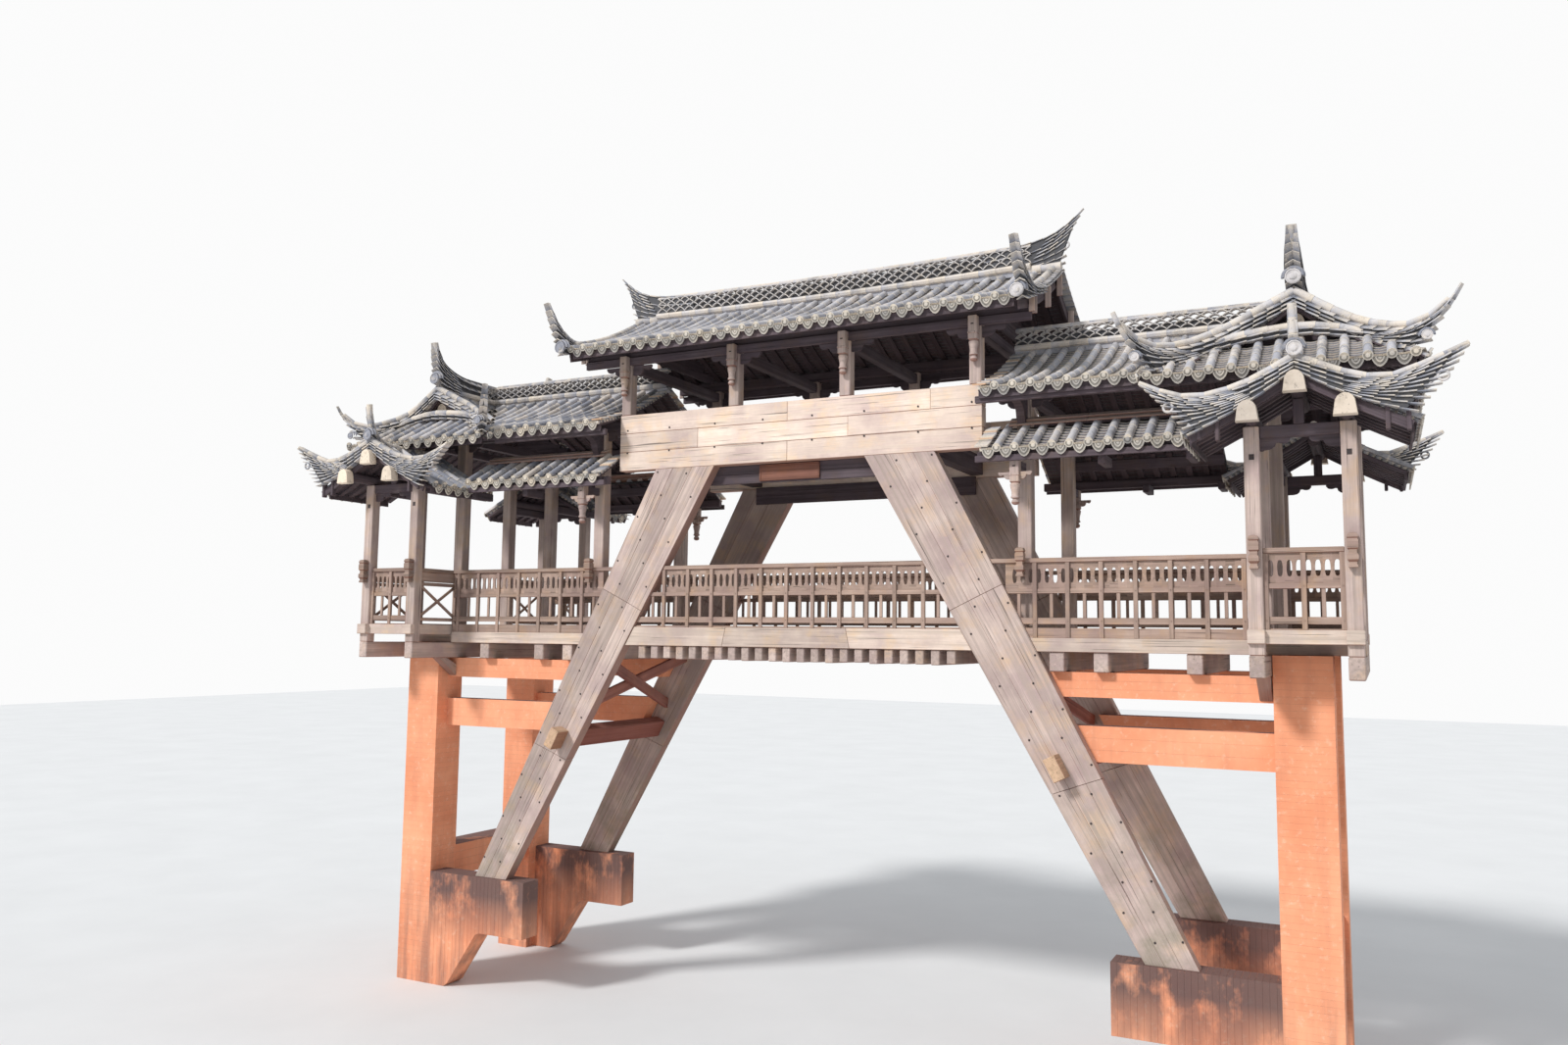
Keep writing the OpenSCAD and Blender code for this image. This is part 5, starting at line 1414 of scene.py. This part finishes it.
def roof(name, covers, drips, boards):
    """The tiles of a roof, which stand for its node, the end tiles, and the
    timber under them."""
    put = places if "{side}" in name else place
    put(f"{name}_tiles", covers, "tile", name, 50)
    put(f"{name}_drips", drips, "drip", None, 40)
    put(f"{name}_rafters", boards, "dark")


MID_LOW, MID_HIGH = low_high("middle_roof")
END_LOW, END_HIGH = low_high("side_roof_right")
PENT_LOW, PENT_HIGH = low_high("pent_roof_right")
SHELL = 0.09
SIDE_REACH, SIDE_EAVE = 2.05, 9.54
# The roof across each end: its ridge, its inner eave, its gables, its skirts
CROSS_X, CROSS_IN, GABLE_Y, SKIRT_TOP = 7.27, 5.45, 1.5, 9.9
PORCH_MID, PORCH_REACH, PORCH_FRONT, PORCH_RIDGE, PORCH_EAVE = 7.325, 1.25, 3.0, 9.25, 8.55
# How far the tiles of one roof run on under those of the next
LAP = 0.03


def cross_height(x):
    """Height of the roof across the end at a distance x along the bridge."""
    return np.where(x < CROSS_X, CROSS[0].height(CROSS_X - x), CROSS[1].height(x - CROSS_X))


def skirt_height(y):
    """Height of its straight skirts at a distance y across the bridge."""
    return SKIRT_TOP + (np.abs(y) - GABLE_Y) / (END_HIGH[1] - GABLE_Y) * (END_LOW[2] + SHELL - SKIRT_TOP)


def keep_main(x, y, z):
    """The side roof, where it isn't under the hipped gable roof across it."""
    hip = np.where(np.abs(y) > GABLE_Y, np.minimum(cross_height(x), skirt_height(y)), cross_height(x))
    return (x < CROSS_IN) | (z > hip - LAP)


def keep_cross(x, y, z):
    """The roof across the end, between its skirts and above the side roof."""
    own = (np.abs(y) <= GABLE_Y + 0.02) | (cross_height(x) < skirt_height(y) + LAP)
    main = np.where(x < CROSS_X, MAIN[0].height(np.abs(y)), -1)
    return own & ((z > main - LAP) | (np.abs(y) > SIDE_REACH + 0.05))


def keep_skirt(x, y, z):
    """A skirt, where the roof across the end isn't lower than it."""
    return cross_height(x) > skirt_height(y) - LAP


MIDDLE = [Slope((0, 0), (0, y), MID_HIGH[1], MID_HIGH[2], MID_LOW[2] + SHELL) for y in (-1, 1)]
MAIN = [Slope((0, 0), (0, y), SIDE_REACH, END_HIGH[2], SIDE_EAVE, keep=keep_main) for y in (-1, 1)]
CROSS = [Slope((CROSS_X, 0), (x, 0), reach, END_HIGH[2], END_LOW[2] + SHELL, keep=keep_cross)
         for x, reach in ((-1, CROSS_X - CROSS_IN), (1, END_HIGH[0] - CROSS_X))]


class BRIDGE_OT_middle_roof(bpy.types.Operator):
    """Tiled roof over the middle, with its open ridge, gables and horns"""
    bl_idname = "bridge.middle_roof"
    bl_label = "Middle roof"

    def execute(self, context):
        half, slope = MID_HIGH[0], MIDDLE[0]
        covers, drips, boards, edge, dark = (Shape(seed) for seed in (71, 72, 73, 74, 75))
        for face in MIDDLE:
            tile(covers, drips, boards, face, -half + 0.17, half - 0.17)

        def down(lift, x, share=1.0, n=9):
            """A line down the gable's edge, off the tiles by the lift."""
            path = slope.spot(0.0, np.linspace(0, slope.reach * share, n), lift)
            return np.stack([0 * path[:, 0] + x, path[:, 1], path[:, 2]], -1)

        sweep(dark, down(-0.04, half - 0.11), oblong(0.03, 0.16, -0.16), (1, 0, 0))
        # flat tiles in two courses along the gable's edge, then round ones
        # the start of each flat tile on the gable's edge is marked for painted shadow
        n = round(slope.reach / 0.12) + 1
        for lift, x, wide in ((0.0, half - 0.055, 0.17), (0.032, half - 0.06, 0.14)):
            sweep(edge, down(lift, x, 0.93, n), oblong(wide, 0.016), (1, 0, 0), mark=(-0.4, 0.6), step=0.016)
        tube(edge, down(0.075, half - 0.14, 0.93, n), 0.05, side=(1, 0, 0))
        self.corner(edge, slope)
        edge.both(y=True)
        dark.both(y=True)
        # boards that close the gable, and pale slats that hang from its edge
        z, r = np.arange(10.8, 11.6, 0.155), np.linspace(0, slope.reach, 40)
        under = np.interp(-z[1:], 0.1 - slope.height(r), r)
        boxes(dark, spots(3.03, -under, z[:-1] + 0.003), spots(3.07, under, z[1:]), 1, 0.004)
        slats = Shape(78)
        for y, high in ((-1.64, 0.24), (-1.52, 0.28), (-0.72, 0.32), (0, 0.34), (0.72, 0.3), (1.52, 0.28)):
            top = float(slope.height(abs(y))) - 0.03
            boxes(slats, (half - 0.085, y - 0.014, top - high), (half - 0.002, y + 0.014, top), 2, 0.003, 0.8)
        covers.join(edge.both(x=True))
        boards.join(dark.both(x=True))
        roof("middle_roof", covers, drips, boards)
        place("middle_gable_slats", slats.both(x=True), "timber")
        ridge, tips = Shape(76), Shape(77)
        top = MID_HIGH[2]
        lattice(ridge, (-3.45, 0, top), (3.45, 0, top), 0.04, 0.85, 0.49)
        fan(tips, [(2.7, 0, top + 0.47), (3.3, 0, top + 0.52), (3.7, 0, top + 0.6), (3.98, 0, top + 0.74),
                   (4.28, 0, 12.69)],
            [(2.7, 0, top + 0.02), (3.2, 0, top + 0.02), (3.6, 0, top + 0.02), (3.96, 0, top + 0.04)],
            [(3.96, 0, top + 0.04), (4.0, 0, top + 0.3), (3.98, 0, top + 0.48), (4.27, 0, 12.655)],
            layers=10, wide=0.12, drop=0.02, side=(0, 1, 0), begin=0.6, tip=0.5)
        loop(tips, (3.99, 0, top + 0.42), 0.05, 0.016, 0.8, -2.0)
        tube(tips, [(3.3, 0, top + 0.09), (3.92, 0, top + 0.09)], 0.07, side=(0, 1, 0))
        place("middle_ridge_tiles", ridge.join(tips.both(x=True)), "tile", "middle_ridge", smooth=40)
        return {"FINISHED"}

    def corner(self, shape, slope):
        """The horn at the front eave's corner, with the boss at its foot."""
        x = MID_HIGH[0] - 0.02
        low = [(x, -r, float(slope.height(r))) for r in (1.2, 1.6, 1.95)]
        fan(shape, [np.add(low[0], (0, 0, 0.1)), np.add(low[1], (0, 0, 0.12)), (x, -1.93, 11.02), (x, -2.32, 11.16),
                    (x, -2.64, 11.5)],
            [*low, (x, -2.24, 10.72)], [(x, -2.24, 10.72), (x, -2.38, 11.0), (x, -2.62, 11.48)],
            layers=8, wide=0.2, drop=0.06, side=(1, 0, 0), begin=0.5, tip=0.65, tone=0.2)
        boss(shape, (x - 0.05, -2.33, 10.79))


class BRIDGE_OT_end_roofs(bpy.types.Operator):
    """Tiled roofs over both ends, with hips, gables, ridges and horns"""
    bl_idname = "bridge.end_roofs"
    bl_label = "End roofs"

    def execute(self, context):
        covers, drips, boards, ridge, half = (Shape(seed) for seed in (81, 82, 83, 84, 85))
        near, far = 3.22, CROSS_X - 0.05
        tile(covers, drips, boards, MAIN[0], near, far, 0)
        tile(covers, drips, boards, MAIN[1], -far, -near, -1)
        for slope in CROSS:
            tile(covers, drips, boards, slope, 0.1 - END_HIGH[1], END_HIGH[1] - 0.1)
        for y, low, high in ((-1, -1.72, 1.33), (1, -1.33, 1.72)):
            skirt = Slope((CROSS_X, y * GABLE_Y), (0, y), END_HIGH[1] - GABLE_Y, SKIRT_TOP,
                          END_LOW[2] + SHELL, 0.0, keep_skirt)
            tile(covers, drips, boards, skirt, low, high)
        z = END_HIGH[2]
        lattice(ridge, (3.2, 0, z), (CROSS_X - 0.1, 0, z))
        lattice(half, (CROSS_X, -1.05, z), (CROSS_X, 0, z))
        self.hips(half)
        self.finial(half)
        roof("side_roof_{side}", covers, drips, boards)
        places("side_ridge_{side}_tiles", ridge.join(half.both(y=True)), "tile", "side_ridge_{side}", smooth=40)
        return {"FINISHED"}

    def hips(self, shape):
        """Verges that run on down the hips into the corner horns."""
        inner = [(CROSS_X, -1.54, 10.56), (6.75, -1.54, 10.31), (6.35, -1.59, 10.12), (5.95, -1.86, 9.93),
                 (5.62, -2.18, 9.86), (5.42, -2.38, 9.94), (5.28, -2.52, 10.10), (5.20, -2.60, 10.27)]
        outer = [(CROSS_X, -1.54, 10.56), (7.72, -1.54, 10.25), (8.02, -1.6, 10.07), (8.3, -1.82, 9.93),
                 (8.55, -2.0, 9.86), (8.78, -2.1, 9.93), (8.96, -2.16, 10.08), (9.09, -2.2, 10.26)]
        depths = spots(0, 0, [0.16, 0.16, 0.18, 0.2, 0.29])
        for line, foot, mid in ((inner, (5.46, -2.34, 9.53), (5.37, -2.43, 9.86)),
                                (outer, (8.7, -2.07, 9.53), (8.84, -2.13, 9.84))):
            line = np.array(line)
            fan(shape, line - (0, 0, 0.045), [*(line[:5] - depths), foot], [foot, mid, line[-1] - (0, 0, 0.02)],
                wide=0.19, drop=0.05, begin=0.6, tip=0.5)
            tube(shape, line[:-1], 0.052, 0.5)
        for x, y, z in ((5.43, -2.5, 9.66), (8.72, -2.22, 9.66)):
            boss(shape, (x, y, z), 0.062)

    def finial(self, shape):
        """Tiles along the top of the skirt, and the horn at the apex."""
        x = CROSS_X
        skirt = np.array([(6.12, -1.62, 9.93), (6.6, -1.6, 10.02), (x, -1.58, 10.08), (7.7, -1.6, 10.02),
                          (8.05, -1.64, 9.92)])
        top, low = skirt - (0, 0.02, 0.05), skirt - (0, 0.02, 0.11)
        tube(shape, skirt, 0.052, side=(0, 1, 0))
        fan(shape, top, low, [low[-1], top[-1]], layers=2, wide=0.16, side=(0, 1, 0), tip=1.0)
        fan(shape, [(x, -0.4, 10.87), (x, -0.95, 10.9), (x, -1.35, 11.02), (x, -1.56, 11.2), (x, -1.655, 11.42)],
            [(x, -0.4, 10.6), (x, -1.0, 10.6), (x, -1.5, 10.62)],
            [(x, -1.5, 10.62), (x, -1.6, 10.95), (x, -1.65, 11.4)],
            layers=8, wide=0.26, drop=0.11, side=(1, 0, 0), begin=0.5, tip=0.5, tone=0.15)
        tube(shape, [(x, -1.5, 11.12), (x, -1.6, 11.26), (x, -1.65, 11.39)], 0.045, side=(1, 0, 0), tone=0.3)
        boss(shape, (x, -1.64, 10.72))


class BRIDGE_OT_porch_roofs(bpy.types.Operator):
    """Tiled porch roofs with spread verges, and the clay purlin caps"""
    bl_idname = "bridge.porch_roofs"
    bl_label = "Porch roofs"

    def execute(self, context):
        mid, front = PORCH_MID, PORCH_FRONT
        covers, drips, boards = Shape(91), Shape(92), Shape(93)
        for x, low, high in ((-1, 1.42, front - 0.2), (1, 0.2 - front, -1.42)):
            slope = Slope((mid, 0), (x, 0), PORCH_REACH, PORCH_RIDGE, PORCH_EAVE, 0.03)
            tile(covers, drips, boards, slope, low, high)
            path = slope.spot(0.0, np.linspace(0, PORCH_REACH - 0.02, 5), -0.04)
            path[:, 1] = -front + 0.05
            sweep(boards, path, oblong(0.035, 0.11, -0.11), (0, x, 0))
        for x, z0, z1 in ((6.46, 8.43, 8.7), (6.25, 8.46, 8.64), (8.27, 8.44, 8.72), (8.48, 8.42, 8.68)):
            boxes(boards, (x - 0.025, -front + 0.01, z0), (x + 0.025, -front + 0.1, z1), 2, 0.01, 0.9)
        self.verges(covers)
        ridge = spots(mid, [-1.4, -2.0, -2.5, -2.85, -3.0, -3.07, -3.1], [9.3, 9.3, 9.3, 9.38, 9.56, 9.76, 9.97])
        tube(covers, ridge, 0.06, 0.8, (1, 0, 0), 0.85, 0.16)
        fan(covers, spots(mid, [-2.3, -2.75, -2.98, -3.08], [9.3, 9.36, 9.56, 9.92]),
            spots(mid, [-2.3, -2.8, -3.08], [9.25, 9.25, 9.28]), spots(mid, [-3.08, -3.09, -3.12], [9.28, 9.6, 9.93]),
            layers=5, wide=0.13, drop=0.02, side=(1, 0, 0), tip=0.8)
        boss(covers, (mid + 0.01, -3.11, 9.44), 0.092)
        for shape in (covers, drips, boards):
            shape.both(y=True)
        caps = Shape(94)
        turn = np.pi * np.arange(9) / 8
        arch = np.concatenate([np.stack([0.112 * np.cos(turn), 0.128 * np.sin(turn)], -1),
                               [(-0.13, -0.128), (0.13, -0.128)]])
        size = np.array([0.94, 1.0, 1.0, 0.94])
        for dx, z in PURLINS:
            path = spots(mid + dx, [-3.0, -3.03, -3.12, -3.15], z)
            sweep(caps, path, arch, (1, 0, 0), size, size, 0.4 + 0.2 * dx)
        sweep(caps, spots(CROSS_X, [-1.28, -1.31, -1.39, -1.42], 10.17), arch, (1, 0, 0), size, size, 0.6)
        place("purlin_caps_clay", caps.both(x=True, y=True), "cap", "purlin_caps", smooth=40)
        roof("porch_roof_{side}", covers, drips, boards)
        return {"FINISHED"}

    def verges(self, shape):
        """The spread tiles at the porch's front edge: for each of its sides the
        top, low and cut lines of a fan, as distances from the middle, and z."""
        y = -PORCH_FRONT - 0.01
        lines = {-1: ([(0, 9.37), (-0.43, 9.14), (-0.74, 9.03), (-1.05, 8.98), (-1.36, 9.02), (-1.75, 9.2)],
                      [(0, 9.2), (-0.5, 8.87), (-0.9, 8.66), (-1.2, 8.52)],
                      [(-1.2, 8.52), (-1.33, 8.7), (-1.46, 8.86), (-1.62, 9.04), (-1.75, 9.18)], (-1.41, 8.86)),
                 1: ([(0, 9.37), (0.4, 9.18), (0.65, 9.08), (0.98, 9.04), (1.34, 9.16), (1.76, 9.34)],
                     [(0, 9.2), (0.5, 8.9), (0.9, 8.73), (1.25, 8.62)],
                     [(1.25, 8.62), (1.38, 8.78), (1.5, 8.93), (1.64, 9.12), (1.76, 9.32)], (1.5, 8.99))}

        def at(points, drop=0.0, shift=0.0):
            u, v = np.transpose(points)
            return spots(PORCH_MID + u, y + shift, v - drop)

        for x, (top, low, cut, ring) in lines.items():
            fan(shape, at(top, 0.04), at(low), at(cut, 0.01), layers=10, wide=0.14, side=(0, x, 0), begin=0.4, tip=1.0)
            for shift, drop in ((-0.02, 0.0), (0.04, 0.005)):
                tube(shape, at(top, drop, shift), 0.042, 0.6, (0, x, 0), 0.85)
            loop(shape, (PORCH_MID + ring[0], y - 0.045, ring[1]), 0.055, 0.015)


class BRIDGE_OT_pent_roofs(bpy.types.Operator):
    """Low tiled roofs along the sides of both ends"""
    bl_idname = "bridge.pent_roofs"
    bl_label = "Low side roofs"

    def execute(self, context):
        covers, drips, boards, top = (Shape(seed) for seed in (96, 97, 98, 99))
        wall = -POST_Y[0]
        near, far = PENT_LOW[0] + 0.08, PENT_HIGH[0] - 0.06
        for y, low, high, flat in ((-1, near, far, 0), (1, -far, -near, -1)):
            slope = Slope((0, y * wall), (0, y), PENT_HIGH[1] - wall, PENT_HIGH[2], PENT_LOW[2] + SHELL, 0.0)
            tile(covers, drips, boards, slope, low, high, flat)
        for y, z in ((-1.46, 9.1), (-1.39, 9.17)):
            for a, b in ((PENT_LOW[0] + 0.35, 4.6), (4.605, PENT_HIGH[0])):
                beams(top, (a, y, z), (b, y, z), 0.13, 0.024, (0, -0.5, 1), 0.004, 0.6)
        roof("pent_roof_{side}", covers, drips, boards)
        places("pent_boards_{side}", top.both(y=True), "timber")
        return {"FINISHED"}


# Stage

CAMERA_AT = (8.11632, -17.54166, 6.04479)
YAW, PITCH, ROLL = (math.radians(a) for a in (27.04528, 5.6225, -0.64533))
SENSOR, FOCAL = 36.0, 1190.919 / 1600
FLOOR_HALF = 90


class BRIDGE_OT_stage(bpy.types.Operator):
    """Camera, pale floor and soft light"""
    bl_idname = "bridge.stage"
    bl_label = "Camera, floor and light"

    def execute(self, context):
        scene = bpy.context.scene
        scene.camera = self.add("camera", bpy.data.cameras.new("camera"))
        scene.camera.data.sensor_width, scene.camera.data.lens = SENSOR, SENSOR * FOCAL
        scene.camera.data.sensor_fit = "HORIZONTAL"
        scene.camera.data.clip_end = 500.0
        ahead = np.array([-math.sin(YAW) * math.cos(PITCH), math.cos(YAW) * math.cos(PITCH), math.sin(PITCH)])
        right = np.array([math.cos(YAW), math.sin(YAW), 0])
        up = np.cross(right, ahead)
        c, s = math.cos(ROLL), math.sin(ROLL)
        axes = np.stack([c * right - s * up, s * right + c * up, -ahead], -1)
        scene.camera.matrix_world = Matrix.Translation(CAMERA_AT) @ Matrix(axes.tolist()).to_4x4()
        mesh = bpy.data.meshes.new("floor")
        corners = [(x * FLOOR_HALF, y * FLOOR_HALF, 0) for x, y in ((-1, -1), (1, -1), (1, 1), (-1, 1))]
        mesh.from_pydata(corners, [], [(0, 1, 2, 3)])
        paint = Finish("pale floor", 0.9)
        mesh.materials.append(paint.finish(paint.coat((0.74, 0.74, 0.73), (0.78, 0.78, 0.77),
                                                      paint.noise(paint.place, scale=0.4), 0.3, 0.7)))
        self.add("floor", mesh)
        sun = self.add("key light", bpy.data.lights.new("key light", "SUN"))
        sun.data.energy, sun.data.angle = 2.6, math.radians(9)
        sun.rotation_euler = (math.radians(52), 0, math.radians(-28))
        scene.world = bpy.data.worlds.new("soft sky")
        scene.world.use_nodes = True
        sky = Nodes(scene.world.node_tree)
        rays = sky.node("LightPath").outputs
        seen = sky.sums("MAXIMUM", rays["Is Camera Ray"], rays["Is Glossy Ray"])
        # soft light all round, and behind the bridge a white that gives none
        back, white = sky.tree.nodes["Background"], sky.node("Background", {"Color": (0.97, 0.97, 0.97, 1.0)})
        back.inputs["Color"].default_value, back.inputs["Strength"].default_value = (0.9, 0.94, 1.0, 1.0), 0.62
        mixed = sky.node("MixShader", {0: seen, 1: back.outputs[0], 2: white.outputs[0]}).outputs[0]
        sky.tree.links.new(mixed, sky.tree.nodes["World Output"].inputs["Surface"])
        scene.view_settings.view_transform = "Standard"
        return {"FINISHED"}

    def add(self, name, data):
        """A new object of the scene, with its name and data."""
        thing = bpy.data.objects.new(name, data)
        bpy.context.scene.collection.objects.link(thing)
        return thing


OPERATORS = (BRIDGE_OT_stage, BRIDGE_OT_piers, BRIDGE_OT_legs, BRIDGE_OT_deck, BRIDGE_OT_railings,
             BRIDGE_OT_posts, BRIDGE_OT_beams, BRIDGE_OT_middle_roof, BRIDGE_OT_end_roofs,
             BRIDGE_OT_porch_roofs, BRIDGE_OT_pent_roofs)


class BRIDGE_PT_panel(bpy.types.Panel):
    """Lists the bridge's pieces and sizes"""
    bl_idname = "BRIDGE_PT_panel"
    bl_label = "Covered bridge"
    bl_space_type = "VIEW_3D"
    bl_region_type = "UI"
    bl_category = "Bridge"

    def draw(self, context):
        for group in (context.scene.bridge_sizes, context.scene.bridge_colours):
            for key in group.__annotations__:
                self.layout.prop(group, key)
        for operator in OPERATORS:
            self.layout.operator(operator.bl_idname)


CLASSES = (BridgeSizes, BridgeColours, *OPERATORS, BRIDGE_PT_panel)


def register():
    for cls in CLASSES:
        bpy.utils.register_class(cls)
    bpy.types.Scene.bridge_sizes = PointerProperty(type=BridgeSizes)
    bpy.types.Scene.bridge_colours = PointerProperty(type=BridgeColours)


def unregister():
    del bpy.types.Scene.bridge_sizes
    del bpy.types.Scene.bridge_colours
    for cls in reversed(CLASSES):
        bpy.utils.unregister_class(cls)


def main():
    register()
    for operator in OPERATORS:
        group, name = operator.bl_idname.split(".")
        getattr(getattr(bpy.ops, group), name)()
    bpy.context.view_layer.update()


if __name__ == "__main__":
    main()
